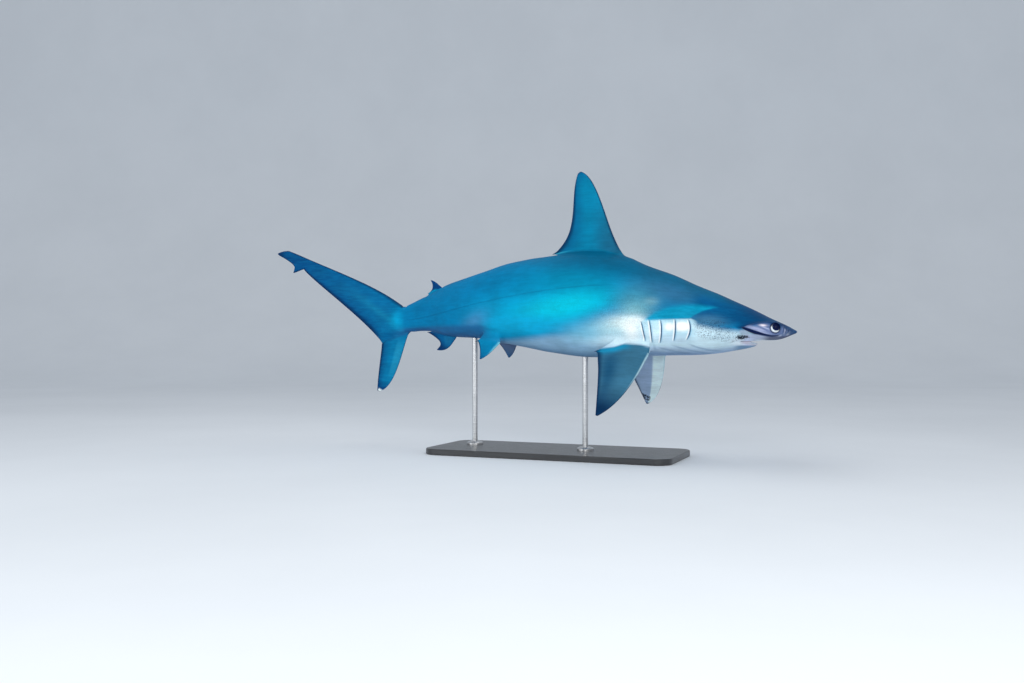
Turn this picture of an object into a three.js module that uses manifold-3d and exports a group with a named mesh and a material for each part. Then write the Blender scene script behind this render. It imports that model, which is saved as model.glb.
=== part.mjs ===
// A scalloped hammerhead shark, 2.4 m long, as a still museum model on a plain display stand.
// The animal is first described straight: s runs back from the snout, l out to its right side and
// z up from the plane of the hammer, all in millimetres. Every point is then bent along the spine.
// The head points along +X, and the underside of the stand's base is at height 0.
import * as THREE from "three";
import { mergeVertices } from "three/addons/utils/BufferGeometryUtils.js";
import Module from "manifold-3d";

const wasm = await Module();
wasm.setup();

// Driving dimensions of the animal
const HAMMER_HEIGHT = 500;
const GAP = 0.3;
const HEADING_STEP = 288;
const HEADING_DEGREES = [-9.7, -9.4, 0.9, 0.6, 8.2, 18.5, 10.8, -9.9, -26, -38];
const SPINE_STEP = 4;

// Where the body is parted, as distances from the snout
const HAMMER_REAR = 226;
const FIRST_GILL = 370;
const SHOULDER = 545;
const MID_TRUNK = 955;
const VENT = 1375;
const CAUDAL_ROOT = 1683;

// Lines of the body behind the hammer: distance, top, bottom, half width, height of the widest line
const BODY_LINES = [
  [226, 99, -86, 114, -7],
  [288, 128, -96, 120, 0],
  [372, 164, -103, 131, 12],
  [456, 202, -104, 135, 24],
  [552, 239, -108, 140, 43],
  [648, 281, -111, 144, 58],
  [744, 302, -113, 146, 67],
  [840, 300, -108, 142, 72],
  [948, 286, -94, 132, 77],
  [1032, 278, -78, 121, 82],
  [1128, 264, -62, 107, 82],
  [1224, 241, -44, 94, 82],
  [1320, 218, -36, 77, 79],
  [1440, 192, -29, 59, 74],
  [1560, 151, -7, 42, 67],
  [1711, 101, -12, 29, 46],
];

// Lines of the skull between the two wings of the hammer, down to the roof of the mouth
const SKULL_LINES = [
  [26, -6, -28, 66, -16],
  [62, 17, -40, 106, -15],
  [96, 35, -44, 120, -14],
  [132, 54, -47, 125, -13],
  [168, 72, -48, 122, -12],
  [226, 99, -48, 114, -10],
];

// The lower jaw
const JAW_TIP = 140;
const JAW_HALF_WIDTH = 94;
const JAW_LIP_FRONT = -60;
const JAW_LIP_CORNER = -49;
const JAW_CHIN = -69;
const JAW_THROAT = -86;

// Fullness of a section above and below its widest line, where 2 is an ellipse
const BACK_FULLNESS = 1.85;
const BELLY_FULLNESS = 2.25;
const BODY_SIDES = 24;

// The hammer
const HAMMER_HALF_SPAN = 313;
const HAMMER_STATIONS = 13;
const HAMMER_CHORD = 8;
const HAMMER_FRONT = 1;
const HAMMER_SWEEP = 55;
const SCALLOP_SPACING = 122;
const SCALLOP_DEPTH = 5;
const HAMMER_CORNER = 292;
const HAMMER_TRAILING = 199;
const HAMMER_HALF_THICKNESS = 29;
const HAMMER_NOSE_LEVEL = -17;
const HAMMER_REAR_RISE = 12;

// The eyes, at the ends of the hammer
const EYE_PLACE = new THREE.Vector3(90, 302, -5);
const EYE_RADIUS = 19;

// The stand
const BASE_LENGTH = 1000;
const BASE_WIDTH = 400;
const BASE_THICKNESS = 24;
const BASE_CORNER = 60;
const BASE_BEVEL = 3;
const BASE_MIDDLE = 920;
const ROD_RADIUS = 11;
const ROD_FRONT = 800;
const ROD_REAR = 1300;
const COLLAR_RADIUS = 34;
const COLLAR_HEIGHT = 14;
const ROUND_SIDES = 28;

// Materials
const material = (color, roughness, metalness) =>
  new THREE.MeshStandardMaterial({ color, roughness, metalness });
const backSkin = material(0x2f6f8c, 0.45, 0);
const sideSkin = material(0x7fa9b8, 0.45, 0);
const paleSkin = material(0xd3dcdf, 0.5, 0);
const finSkin = material(0x35687f, 0.5, 0);
const eyeGlass = material(0x0a1420, 0.08, 0);
const baseLacquer = material(0x2a2c2f, 0.4, 0);
const rodSteel = material(0xb9bcc0, 0.3, 1);

const group = new THREE.Group();

function addPart(name, geometry, skin) {
  const mesh = new THREE.Mesh(geometry, skin);
  mesh.name = name;
  group.add(mesh);
  return mesh;
}

// Smooth interpolation through evenly spaced values
function smoothThrough(values, place) {
  const i = Math.min(Math.max(Math.floor(place), 0), values.length - 2);
  const t = place - i;
  const p1 = values[i];
  const p2 = values[i + 1];
  const p0 = i > 0 ? values[i - 1] : 2 * p1 - p2;
  const p3 = i + 2 < values.length ? values[i + 2] : 2 * p2 - p1;
  const bow = 2 * p0 - 5 * p1 + 4 * p2 - p3;
  const twist = 3 * (p1 - p2) + p3 - p0;
  return 0.5 * (2 * p1 + (p2 - p0) * t + bow * t * t + twist * t * t * t);
}

// The spine: the heading gives the direction from snout to tail at each distance
const headingAt = (s) =>
  THREE.MathUtils.degToRad(smoothThrough(HEADING_DEGREES, s / HEADING_STEP));
const spine = [new THREE.Vector2(0, 0)];
for (let s = 0; s < 2500; s += SPINE_STEP) {
  const a = headingAt(s + SPINE_STEP / 2);
  const last = spine[spine.length - 1];
  spine.push(new THREE.Vector2(last.x - Math.cos(a) * SPINE_STEP, last.y + Math.sin(a) * SPINE_STEP));
}

function spineAt(s) {
  const place = Math.max(s, 0) / SPINE_STEP;
  const i = Math.min(Math.floor(place), spine.length - 2);
  return spine[i].clone().lerp(spine[i + 1], place - i);
}

function bend(p) {
  const a = headingAt(p.x);
  const foot = spineAt(p.x);
  const x = foot.x - Math.sin(a) * p.y;
  const y = foot.y - Math.cos(a) * p.y;
  return new THREE.Vector3(x, y, p.z + HAMMER_HEIGHT);
}

// A closed solid through rings of points, bent along the spine
function loft(rings) {
  const sides = rings[0].length;
  const points = rings.flat();
  const faces = [];
  for (let r = 0; r + 1 < rings.length; r++) {
    for (let k = 0; k < sides; k++) {
      const a = r * sides + k;
      const b = r * sides + ((k + 1) % sides);
      faces.push(a, b, b + sides, a, b + sides, a + sides);
    }
  }
  const ends = [
    [0, 1],
    [(rings.length - 1) * sides, -1],
  ];
  for (const [first, turn] of ends) {
    const middle = new THREE.Vector3();
    for (let k = 0; k < sides; k++) middle.addScaledVector(points[first + k], 1 / sides);
    points.push(middle);
    for (let k = 0; k < sides; k++) {
      const a = first + k;
      const b = first + ((k + 1) % sides);
      faces.push(...(turn > 0 ? [b, a, points.length - 1] : [a, b, points.length - 1]));
    }
  }
  return solidFrom(points.map(bend), faces);
}

function solidFrom(points, faces) {
  const volume = (list) => {
    let sum = 0;
    for (let i = 0; i < list.length; i += 3) {
      const [a, b, c] = [points[list[i]], points[list[i + 1]], points[list[i + 2]]];
      sum += a.dot(b.clone().cross(c));
    }
    return sum;
  };
  const outward = volume(faces) < 0 ? faces.slice().reverse() : faces;
  const geometry = new THREE.BufferGeometry().setFromPoints(points);
  geometry.setIndex(outward);
  return geometry;
}

// Joining and cutting
function toManifold(geometry) {
  const bare = geometry.clone();
  bare.deleteAttribute("normal");
  bare.deleteAttribute("uv");
  const merged = mergeVertices(bare, 1e-4);
  const mesh = new wasm.Mesh({
    numProp: 3,
    vertProperties: new Float32Array(merged.attributes.position.array),
    triVerts: new Uint32Array(merged.index.array),
  });
  return new wasm.Manifold(mesh);
}

function fromManifold(solid) {
  const mesh = solid.getMesh();
  const geometry = new THREE.BufferGeometry();
  const positions = new Float32Array(mesh.vertProperties);
  geometry.setAttribute("position", new THREE.BufferAttribute(positions, 3));
  geometry.setIndex(new THREE.BufferAttribute(new Uint32Array(mesh.triVerts), 1));
  return geometry;
}

const join = (a, b) => fromManifold(toManifold(a).add(toManifold(b)));
const cut = (a, b) => fromManifold(toManifold(a).subtract(toManifold(b)));

// Sections of the body
function linesAt(lines, s) {
  let i = 0;
  while (i + 2 < lines.length && s > lines[i + 1][0]) i++;
  const span = lines[i + 1][0] - lines[i][0];
  const t = THREE.MathUtils.clamp((s - lines[i][0]) / span, 0, 1);
  const value = (k) => {
    const slope = (a, b) => (lines[b][k] - lines[a][k]) / (lines[b][0] - lines[a][0]);
    const m0 = (i > 0 ? slope(i - 1, i + 1) : slope(i, i + 1)) * span;
    const m1 = (i + 2 < lines.length ? slope(i, i + 2) : slope(i, i + 1)) * span;
    const drop = lines[i][k] - lines[i + 1][k];
    return lines[i][k] + m0 * t - (3 * drop + 2 * m0 + m1) * t * t + (2 * drop + m0 + m1) * t * t * t;
  };
  return { top: value(1), bottom: value(2), half: value(3), widest: value(4) };
}

function section(s, line, grow = 0) {
  const ring = [];
  for (let k = 0; k < BODY_SIDES; k++) {
    const a = (2 * Math.PI * k) / BODY_SIDES;
    const up = Math.sin(a) >= 0;
    const power = 2 / (up ? BACK_FULLNESS : BELLY_FULLNESS);
    const reach = (up ? line.top - line.widest : line.widest - line.bottom) + grow;
    const l = Math.sign(Math.cos(a)) * Math.abs(Math.cos(a)) ** power * (line.half + grow);
    const z = line.widest + Math.sign(Math.sin(a)) * Math.abs(Math.sin(a)) ** power * reach;
    ring.push(new THREE.Vector3(s, l, z));
  }
  return ring;
}

function stations(from, to, steps) {
  return Array.from({ length: steps + 1 }, (_, i) => THREE.MathUtils.lerp(from, to, i / steps));
}

function bodyLoft(places, lines = BODY_LINES, grow = 0) {
  return loft(places.map((s) => section(s, linesAt(lines, s), grow)));
}

// A thin foil profile: round or sharp in front, thickest at CREST, thin behind
const CREST = 0.36;
const EDGE = 0.05;
const ROUND_FRONT = 0.5;
const SHARP_FRONT = 0.9;
function foil(c, sharpness = ROUND_FRONT) {
  const front = Math.max(1 - ((CREST - c) / CREST) ** 2, 0) ** sharpness;
  const rear = 1 - ((c - CREST) / (1 - CREST)) ** 2;
  return Math.max(c < CREST ? front : rear, EDGE);
}

const chordSteps = (count) =>
  Array.from({ length: count + 1 }, (_, k) => (1 - Math.cos((Math.PI * k) / count)) / 2);

// A ring round a foil from the leading point a to the trailing point b
function foilRing(a, b, normal, half, count, profile = foil) {
  const ring = [];
  const add = (c, side) => {
    const p = a.clone().lerp(b, c);
    ring.push(p.addScaledVector(normal, side * half * profile(c)));
  };
  const steps = chordSteps(count);
  steps.forEach((c) => add(c, 1));
  steps.reverse().forEach((c) => add(c, -1));
  return ring;
}

// The hammer is lofted from its left end to its right end
function hammerFront(l) {
  const out = Math.abs(l);
  const arc = HAMMER_FRONT + HAMMER_SWEEP * (out / HAMMER_CORNER) ** 2;
  const scallops = SCALLOP_DEPTH * (1 + Math.cos((2 * Math.PI * out) / SCALLOP_SPACING));
  const round = 26 * Math.max((out - HAMMER_CORNER) / (HAMMER_HALF_SPAN - HAMMER_CORNER), 0) ** 2;
  return arc + scallops + round;
}

function hammerBack(l) {
  const out = Math.abs(l);
  const root = 17 * Math.exp(-Math.max(out - 112, 0) / 22);
  const tip = 78 * Math.max((out - 284) / (HAMMER_HALF_SPAN - 284), 0) ** 1.6;
  return Math.min(HAMMER_TRAILING + 5 * ((out - 200) / 90) ** 2 + root - tip, HAMMER_REAR - 2);
}

function hammerRing(l) {
  const front = hammerFront(l);
  const back = hammerBack(l);
  const end = Math.max((Math.abs(l) - 280) / (HAMMER_HALF_SPAN - 280), 0);
  const half = HAMMER_HALF_THICKNESS * (1 - 0.1 * (Math.abs(l) / HAMMER_HALF_SPAN) ** 2 - 0.22 * end ** 2);
  const lift = 6 * (Math.abs(l) / HAMMER_HALF_SPAN) ** 2;
  const a = new THREE.Vector3(front, l, HAMMER_NOSE_LEVEL + lift);
  const b = new THREE.Vector3(back, l, HAMMER_NOSE_LEVEL + lift + HAMMER_REAR_RISE * (1 - 0.5 * lift / 6));
  const roundEnd = THREE.MathUtils.smoothstep(Math.abs(l), 230, 290);
  const sharpness = THREE.MathUtils.lerp(SHARP_FRONT, ROUND_FRONT, roundEnd);
  return foilRing(a, b, new THREE.Vector3(0, 0, 1), half, HAMMER_CHORD, (c) => foil(c, sharpness));
}

function hammer() {
  const rings = [];
  for (let i = -HAMMER_STATIONS; i <= HAMMER_STATIONS; i++) {
    const share = Math.sin((Math.PI / 2) * (Math.abs(i) / HAMMER_STATIONS)) ** 0.9;
    rings.push(hammerRing(Math.sign(i) * HAMMER_HALF_SPAN * share));
  }
  return loft(rings);
}

// The eyes are balls sunk in the ends of the hammer
function eyeBall(side, grow) {
  const ball = new THREE.IcosahedronGeometry(EYE_RADIUS + grow, 2);
  const place = bend(new THREE.Vector3(EYE_PLACE.x, side * EYE_PLACE.y, EYE_PLACE.z));
  ball.translate(place.x, place.y, place.z);
  return ball;
}

const skullPlaces = stations(SKULL_LINES[0][0], HAMMER_REAR - GAP / 2, 6);
let foreHead = join(bodyLoft(skullPlaces, SKULL_LINES), hammer());
for (const side of [1, -1]) {
  foreHead = cut(foreHead, eyeBall(side, GAP));
  addPart(side > 0 ? "eye_right" : "eye_left", eyeBall(side, 0), eyeGlass);
}
addPart("cephalofoil", foreHead, sideSkin);

// The lower jaw is a half oval in plan, slightly dropped in front
function jaw() {
  const rings = [];
  const end = HAMMER_REAR - GAP / 2;
  for (let i = 0; i <= 7; i++) {
    const t = (i / 7) ** 1.6;
    const s = THREE.MathUtils.lerp(JAW_TIP, end, t);
    const half = JAW_HALF_WIDTH * Math.sqrt(Math.max(1 - (1 - t) ** 2, 0.02));
    const lip = THREE.MathUtils.lerp(JAW_LIP_FRONT, JAW_LIP_CORNER, t);
    const chin = THREE.MathUtils.lerp(JAW_CHIN, JAW_THROAT, t ** 0.8);
    const widest = lip - (lip - chin) * 0.25;
    rings.push(section(s, { top: lip, bottom: chin, half, widest }));
  }
  return loft(rings);
}
addPart("lower_jaw", jaw(), paleSkin);

// The body behind the hammer, in lengths
const lengths = [
  ["head", HAMMER_REAR, FIRST_GILL, 5, sideSkin],
  ["gill_region", FIRST_GILL, SHOULDER, 5, paleSkin],
  ["trunk_front", SHOULDER, MID_TRUNK, 9, sideSkin],
  ["trunk_rear", MID_TRUNK, VENT, 8, sideSkin],
  ["tail_stalk", VENT, CAUDAL_ROOT, 7, backSkin],
];
const allPlaces = [];
for (const [name, from, to, steps, skin] of lengths) {
  const places = stations(from + GAP / 2, to - GAP / 2, steps);
  allPlaces.push(...places);
  addPart(name, bodyLoft(places), skin);
}
const wholeBody = bodyLoft(allPlaces, BODY_LINES, GAP);

// Fins: a leading and a trailing curve from root to tip, and a root line sunk in the body
const at = (s, l, z) => new THREE.Vector3(s, l, z);
const curve = (...points) => new THREE.CubicBezierCurve3(...points.map((p) => at(...p)));

function finRings({ lead, trail, sunk, half, steps, chord, normal }) {
  const rings = [foilRing(at(...sunk[0]), at(...sunk[1]), normal, half[0], chord)];
  for (let i = 0; i <= steps; i++) {
    const t = Math.sin((Math.PI / 2) * (i / steps)) * 0.985;
    const thick = THREE.MathUtils.lerp(half[0], half[1], t ** 0.75);
    rings.push(foilRing(lead.getPoint(t), trail.getPoint(t), normal, thick, chord));
  }
  return rings;
}

const sideways = at(0, 1, 0);

const firstDorsal = {
  lead: curve([641, 0, 279], [711, 0, 355], [738, 0, 595], [822, 0, 615]),
  trail: curve([937, 0, 285], [814, 0, 375], [871, 0, 508], [829, 0, 611]),
  sunk: [[640, 0, 225], [900, 0, 225]],
  half: [17, 4],
  steps: 10,
  chord: 8,
  normal: sideways,
};
const secondDorsal = {
  lead: curve([1488, 0, 178], [1506, 0, 196], [1534, 0, 210], [1556, 0, 213]),
  trail: curve([1574, 0, 156], [1544, 0, 166], [1526, 0, 188], [1557, 0, 210]),
  sunk: [[1490, 0, 130], [1570, 0, 118]],
  half: [7, 2],
  steps: 6,
  chord: 6,
  normal: sideways,
};
const anal = {
  lead: curve([1400, 0, -30], [1432, 0, -62], [1450, 0, -98], [1522, 0, -88]),
  trail: curve([1580, 0, -8], [1500, 0, -46], [1478, 0, -58], [1520, 0, -85]),
  sunk: [[1410, 0, 15], [1540, 0, 20]],
  half: [8, 2],
  steps: 7,
  chord: 6,
  normal: sideways,
};

for (const [name, fin] of [
  ["dorsal_fin_first", firstDorsal],
  ["dorsal_fin_second", secondDorsal],
  ["anal_fin", anal],
]) {
  addPart(name, cut(loft(finRings(fin)), wholeBody), finSkin);
}

// A paired fin lies in the plane of its origin, tip and free rear corner
function pairedFin({ origin, tips, corner, lead, trail, sunk, half, steps, chord }, side) {
  const along = at(...tips[side > 0 ? 0 : 1]).sub(at(...origin));
  const back = at(...corner).sub(at(...origin));
  const inPlane = ([p, q]) => {
    const v = at(...origin).addScaledVector(along, p).addScaledVector(back, q);
    return [v.x, side * v.y, v.z];
  };
  const mirrored = ([s, l, z]) => [s, side * l, z];
  const normal = along.clone().cross(back).normalize();
  normal.y *= side;
  return {
    lead: curve(...lead.map(inPlane)),
    trail: curve(...trail.map(inPlane)),
    sunk: sunk.map(mirrored),
    half,
    steps,
    chord,
    normal,
  };
}

const pectoral = {
  origin: [511, 109, -85],
  tips: [[647, 306, -311], [644, 320, -304]],
  corner: [721, 127, -86],
  lead: [[0, 0], [0.35, -0.13], [0.85, -0.3], [1.02, -0.04]],
  trail: [[0, 1], [0.1, 0.7], [0.72, 0.22], [1.02, 0.0]],
  sunk: [[530, 70, -50], [636, 74, -52]],
  half: [15, 3.5],
  steps: 11,
  chord: 8,
};
const pelvic = {
  origin: [1128, 66, -50],
  tips: [[1198, 106, -121], [1198, 106, -118]],
  corner: [1240, 66, -48],
  lead: [[0, 0], [0.4, -0.1], [0.85, -0.16], [1.02, -0.02]],
  trail: [[0, 1], [0.2, 0.7], [0.6, 0.34], [1.02, 0.02]],
  sunk: [[1135, 40, -15], [1205, 40, -12]],
  half: [8, 2],
  steps: 7,
  chord: 6,
};
for (const side of [1, -1]) {
  const hand = side > 0 ? "right" : "left";
  const pectoralSolid = loft(finRings(pairedFin(pectoral, side)));
  const pelvicSolid = loft(finRings(pairedFin(pelvic, side)));
  addPart(`pectoral_fin_${hand}`, cut(pectoralSolid, wholeBody), finSkin);
  addPart(`pelvic_fin_${hand}`, cut(pelvicSolid, wholeBody), finSkin);
}

// The caudal fin: the tail's axis turns up into the long upper lobe
const caudalTop = curve([1716, 0, 100], [1870, 0, 198], [2100, 0, 278], [2262, 0, 353]);
const caudalTip = curve([2262, 0, 353], [2288, 0, 365], [2312, 0, 360], [2335, 0, 347]);
const caudalUnder = curve([1837, 0, -56], [1915, 0, 32], [2178, 0, 224], [2216, 0, 277]);
const lobeUnder = curve([2262, 0, 260], [2236, 0, 292], [2290, 0, 318], [2333, 0, 343]);
const ROOT_ROWS = 3;
const CAUDAL_ROWS = 10;
const LOBE_ROWS = 5;
const NOTCH = 0.84;

function caudalRows() {
  const start = section(CAUDAL_ROOT, linesAt(BODY_LINES, CAUDAL_ROOT));
  const top = start[BODY_SIDES / 4];
  const bottom = start[(3 * BODY_SIDES) / 4];
  const rows = [[top, bottom]];
  for (let i = 1; i <= ROOT_ROWS; i++) {
    const t = i / (ROOT_ROWS + 1);
    const upper = caudalTop.getPoint(0.09 * (t - 0.25));
    rows.push([upper, bottom.clone().lerp(caudalUnder.getPoint(0), t)]);
  }
  for (let i = 0; i <= CAUDAL_ROWS; i++) {
    const t = i / CAUDAL_ROWS;
    rows.push([caudalTop.getPoint(THREE.MathUtils.lerp(0.09, NOTCH, t)), caudalUnder.getPoint(t)]);
  }
  rows.push([caudalTop.getPoint(NOTCH + 0.1), lobeUnder.getPoint(0)]);
  for (let i = 1; i <= LOBE_ROWS; i++) {
    const t = 0.97 * (i / LOBE_ROWS);
    rows.push([caudalTip.getPoint(t), lobeUnder.getPoint(t)]);
  }
  return rows;
}

function caudalUpper(grow) {
  const rows = caudalRows();
  const rings = rows.map(([a, b], i) => {
    const along = i / (rows.length - 1);
    const flatness = THREE.MathUtils.smoothstep(i, 0, ROOT_ROWS + 1);
    const profile = (c) => {
      const round = Math.sqrt(Math.max(1 - (2 * c - 1) ** 2, 0));
      return Math.max(THREE.MathUtils.lerp(round, foil(c), flatness), EDGE);
    };
    const half = 29 * (1 - along) ** 1.5 * (1 - 0.25 * flatness) + 2.5 + grow;
    const out = b.clone().sub(a).normalize().multiplyScalar(grow);
    return foilRing(a.clone().sub(out), b.clone().add(out), sideways, half, 8, profile);
  });
  rings[0].forEach((p) => (p.x = CAUDAL_ROOT + GAP / 2));
  return loft(rings);
}

const lowerLobe = {
  lead: curve([1688, 0, -14], [1724, 0, -80], [1762, 0, -262], [1856, 0, -275]),
  trail: curve([1838, 0, -58], [1838, 0, -90], [1860, 0, -200], [1862, 0, -272]),
  sunk: [[1712, 0, 25], [1810, 0, 0]],
  half: [11, 2.5],
  steps: 9,
  chord: 7,
  normal: sideways,
};
addPart("caudal_fin_upper", caudalUpper(0), finSkin);
const lobeRoot = cut(loft(finRings(lowerLobe)), caudalUpper(GAP));
addPart("caudal_fin_lower", cut(lobeRoot, wholeBody), finSkin);

// The stand: a flat base, and two rods in collars up to the belly
const baseMiddle = bend(at(BASE_MIDDLE, 0, 0));
function standBase() {
  const x = BASE_LENGTH / 2 - BASE_BEVEL;
  const y = BASE_WIDTH / 2 - BASE_BEVEL;
  const r = BASE_CORNER - BASE_BEVEL;
  const outline = new THREE.Shape();
  outline.absarc(x - r, y - r, r, 0, Math.PI / 2);
  outline.absarc(-x + r, y - r, r, Math.PI / 2, Math.PI);
  outline.absarc(-x + r, -y + r, r, Math.PI, 1.5 * Math.PI);
  outline.absarc(x - r, -y + r, r, 1.5 * Math.PI, 2 * Math.PI);
  const plate = new THREE.ExtrudeGeometry(outline, {
    depth: BASE_THICKNESS - 2 * BASE_BEVEL,
    bevelThickness: BASE_BEVEL,
    bevelSize: BASE_BEVEL,
    bevelSegments: 1,
    curveSegments: 7,
  });
  plate.translate(baseMiddle.x, baseMiddle.y, BASE_BEVEL);
  return fromManifold(toManifold(plate));
}

function standRod(s) {
  const foot = BASE_THICKNESS + GAP;
  const height = HAMMER_HEIGHT - foot;
  const rod = new THREE.CylinderGeometry(ROD_RADIUS, ROD_RADIUS, height, ROUND_SIDES);
  rod.rotateX(Math.PI / 2);
  const place = bend(at(s, 0, 0));
  rod.translate(place.x, place.y, foot + height / 2);
  return cut(rod, wholeBody);
}

function standCollar(s) {
  const inner = ROD_RADIUS + GAP;
  const profile = [
    [inner, 0],
    [COLLAR_RADIUS, 0],
    [COLLAR_RADIUS, COLLAR_HEIGHT * 0.45],
    [COLLAR_RADIUS * 0.86, COLLAR_HEIGHT * 0.7],
    [inner + 6, COLLAR_HEIGHT],
    [inner, COLLAR_HEIGHT],
    [inner, 0],
  ].map(([x, y]) => new THREE.Vector2(x, y));
  const ring = new THREE.LatheGeometry(profile, ROUND_SIDES);
  ring.rotateX(Math.PI / 2);
  const place = bend(at(s, 0, 0));
  ring.translate(place.x, place.y, BASE_THICKNESS + GAP);
  return fromManifold(toManifold(ring));
}

addPart("stand_base", standBase(), baseLacquer);
for (const [end, s] of [["front", ROD_FRONT], ["rear", ROD_REAR]]) {
  addPart(`stand_rod_${end}`, standRod(s), rodSteel);
  addPart(`stand_collar_${end}`, standCollar(s), rodSteel);
}

// The origin is under the middle of the whole model, on the floor
const extent = new THREE.Box3().setFromObject(group);
group.position.x = -(extent.min.x + extent.max.x) / 2;
group.position.y = -(extent.min.y + extent.max.y) / 2;
group.position.z = -extent.min.z;

export default group;
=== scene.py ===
import math

import bmesh
import bpy
import numpy as np
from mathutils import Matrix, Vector


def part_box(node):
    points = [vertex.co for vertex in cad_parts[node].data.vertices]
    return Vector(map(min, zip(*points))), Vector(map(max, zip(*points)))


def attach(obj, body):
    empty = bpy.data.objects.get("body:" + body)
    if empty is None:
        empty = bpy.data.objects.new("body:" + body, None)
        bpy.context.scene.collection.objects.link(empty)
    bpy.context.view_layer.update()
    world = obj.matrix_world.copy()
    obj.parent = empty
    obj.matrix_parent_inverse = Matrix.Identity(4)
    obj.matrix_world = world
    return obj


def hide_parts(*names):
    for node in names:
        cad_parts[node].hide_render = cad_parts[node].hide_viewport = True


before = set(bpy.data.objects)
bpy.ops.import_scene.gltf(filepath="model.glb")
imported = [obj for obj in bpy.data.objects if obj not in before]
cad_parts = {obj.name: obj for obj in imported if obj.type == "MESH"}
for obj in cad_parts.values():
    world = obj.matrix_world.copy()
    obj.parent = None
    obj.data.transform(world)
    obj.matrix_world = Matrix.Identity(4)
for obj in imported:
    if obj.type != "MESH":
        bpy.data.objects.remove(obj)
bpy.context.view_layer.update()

# The skin is the whole outside of the animal from the hammer to the tip of the tail, in one piece.
# It is thin, wet-looking hide of tiny tooth-like scales over flesh and gristle, dark above and pale below.
# It is built here as a coarse cage, rounded by subdivision, and the fine forms are then worked into it.
HAMMER_HEIGHT = 500
HEADING_STEP = 288
HEADING_DEGREES = [-9.7, -9.4, 0.9, 0.6, 8.2, 18.5, 10.8, -9.9, -26, -38]
SPINE_STEP, SPINE_END = 4, 2504
ROD_FRONT = 800
MM = 0.001


def heading(s):
    """Direction of the spine from snout to tail, in radians, at each distance."""
    values = np.array(HEADING_DEGREES, float)
    ends = np.concatenate([[2 * values[0] - values[1]], values, [2 * values[-1] - values[-2]]])
    place = np.asarray(s, float) / HEADING_STEP
    i = np.clip(np.floor(place).astype(int), 0, len(values) - 2)
    t = place - i
    p0, p1, p2, p3 = ends[i], ends[i + 1], ends[i + 2], ends[i + 3]
    bow = 2 * p0 - 5 * p1 + 4 * p2 - p3
    twist = 3 * (p1 - p2) + p3 - p0
    return np.radians(0.5 * (2 * p1 + (p2 - p0) * t + bow * t * t + twist * t**3))


spine_places = np.arange(0, SPINE_END, SPINE_STEP)
spine_turns = heading(spine_places[:-1] + SPINE_STEP / 2)
spine_x = np.concatenate([[0], np.cumsum(-np.cos(spine_turns) * SPINE_STEP)])
spine_y = np.concatenate([[0], np.cumsum(np.sin(spine_turns) * SPINE_STEP)])


def bend_flat(p):
    """Bends straight points along the spine, still in millimetres and without the frame's shift."""
    p = np.atleast_2d(np.asarray(p, float))
    a = heading(p[:, 0])
    s = np.maximum(p[:, 0], 0)
    x = np.interp(s, spine_places, spine_x) - np.sin(a) * p[:, 1]
    y = np.interp(s, spine_places, spine_y) - np.cos(a) * p[:, 1]
    return np.stack([x, y, p[:, 2] + HAMMER_HEIGHT], 1)


# The front rod stands right under the spine, which ties the bent shape to the frame
rod_low, rod_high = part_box("stand_rod_front")
rod_foot = bend_flat([[ROD_FRONT, 0, 0]])[0]
frame_shift = np.array(
    [(rod_low.x + rod_high.x) / 2 / MM - rod_foot[0], (rod_low.y + rod_high.y) / 2 / MM - rod_foot[1], 0.0]
)


def bend(p):
    """Straight points in millimetres to places in the frame, in metres."""
    return (bend_flat(p) + frame_shift) * MM


# Distance from the snout, top, bottom, half width, height of the widest line
BODY_LINES = np.array([
    [120, 40, -58, 113, -12],
    [170, 72, -75, 114, -11],
    [226, 99, -86, 114, -7],
    [288, 128, -96, 120, 0],
    [372, 164, -103, 131, 12],
    [456, 202, -104, 135, 24],
    [552, 239, -108, 140, 43],
    [648, 281, -111, 144, 58],
    [744, 302, -113, 146, 67],
    [840, 300, -108, 142, 72],
    [948, 286, -94, 132, 77],
    [1032, 278, -78, 121, 82],
    [1128, 264, -62, 107, 82],
    [1224, 241, -44, 94, 82],
    [1320, 218, -36, 77, 79],
    [1440, 192, -29, 59, 74],
    [1560, 151, -7, 42, 67],
    [1711, 101, -12, 29, 46],
], float)
SKULL_LINES = np.array([
    [-10, -40, -10, 66, -20],
    [26, -6, -25, 72, -16],
    [62, 17, -40, 106, -15],
    [96, 35, -44, 120, -14],
    [132, 54, -47, 125, -13],
    [168, 72, -48, 122, -12],
    [226, 99, -48, 114, -10],
], float)
BACK_FULLNESS = 1.85
BELLY_FULLNESS = 2.25


def lines_at(lines, s):
    """Top, bottom, half width and widest height at each distance, by smooth interpolation."""
    s = np.asarray(s, float)
    x = lines[:, 0]
    i = np.clip(np.searchsorted(x, s, side="left") - 1, 0, len(x) - 2)
    span = x[i + 1] - x[i]
    t = np.clip((s - x[i]) / span, 0, 1)
    found = []
    for k in range(1, 5):
        y = lines[:, k]
        slope = np.gradient(y)
        slope[1:-1] = (y[2:] - y[:-2]) / (x[2:] - x[:-2])
        slope[0] = (y[1] - y[0]) / (x[1] - x[0])
        slope[-1] = (y[-1] - y[-2]) / (x[-1] - x[-2])
        m0, m1 = slope[i] * span, slope[i + 1] * span
        drop = y[i] - y[i + 1]
        found.append(y[i] + m0 * t - (3 * drop + 2 * m0 + m1) * t**2 + (2 * drop + m0 + m1) * t**3)
    return found


def body_point(s, a):
    """The point of the body's surface at distance s and angle a, from the right side up over the back."""
    top, bottom, half, widest = lines_at(BODY_LINES, s)
    up = math.sin(a) >= 0
    power = 2 / (BACK_FULLNESS if up else BELLY_FULLNESS)
    reach = top - widest if up else widest - bottom
    l = math.copysign(abs(math.cos(a)) ** power, math.cos(a)) * half
    return np.array([s, l, widest + math.copysign(abs(math.sin(a)) ** power, math.sin(a)) * reach])


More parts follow.
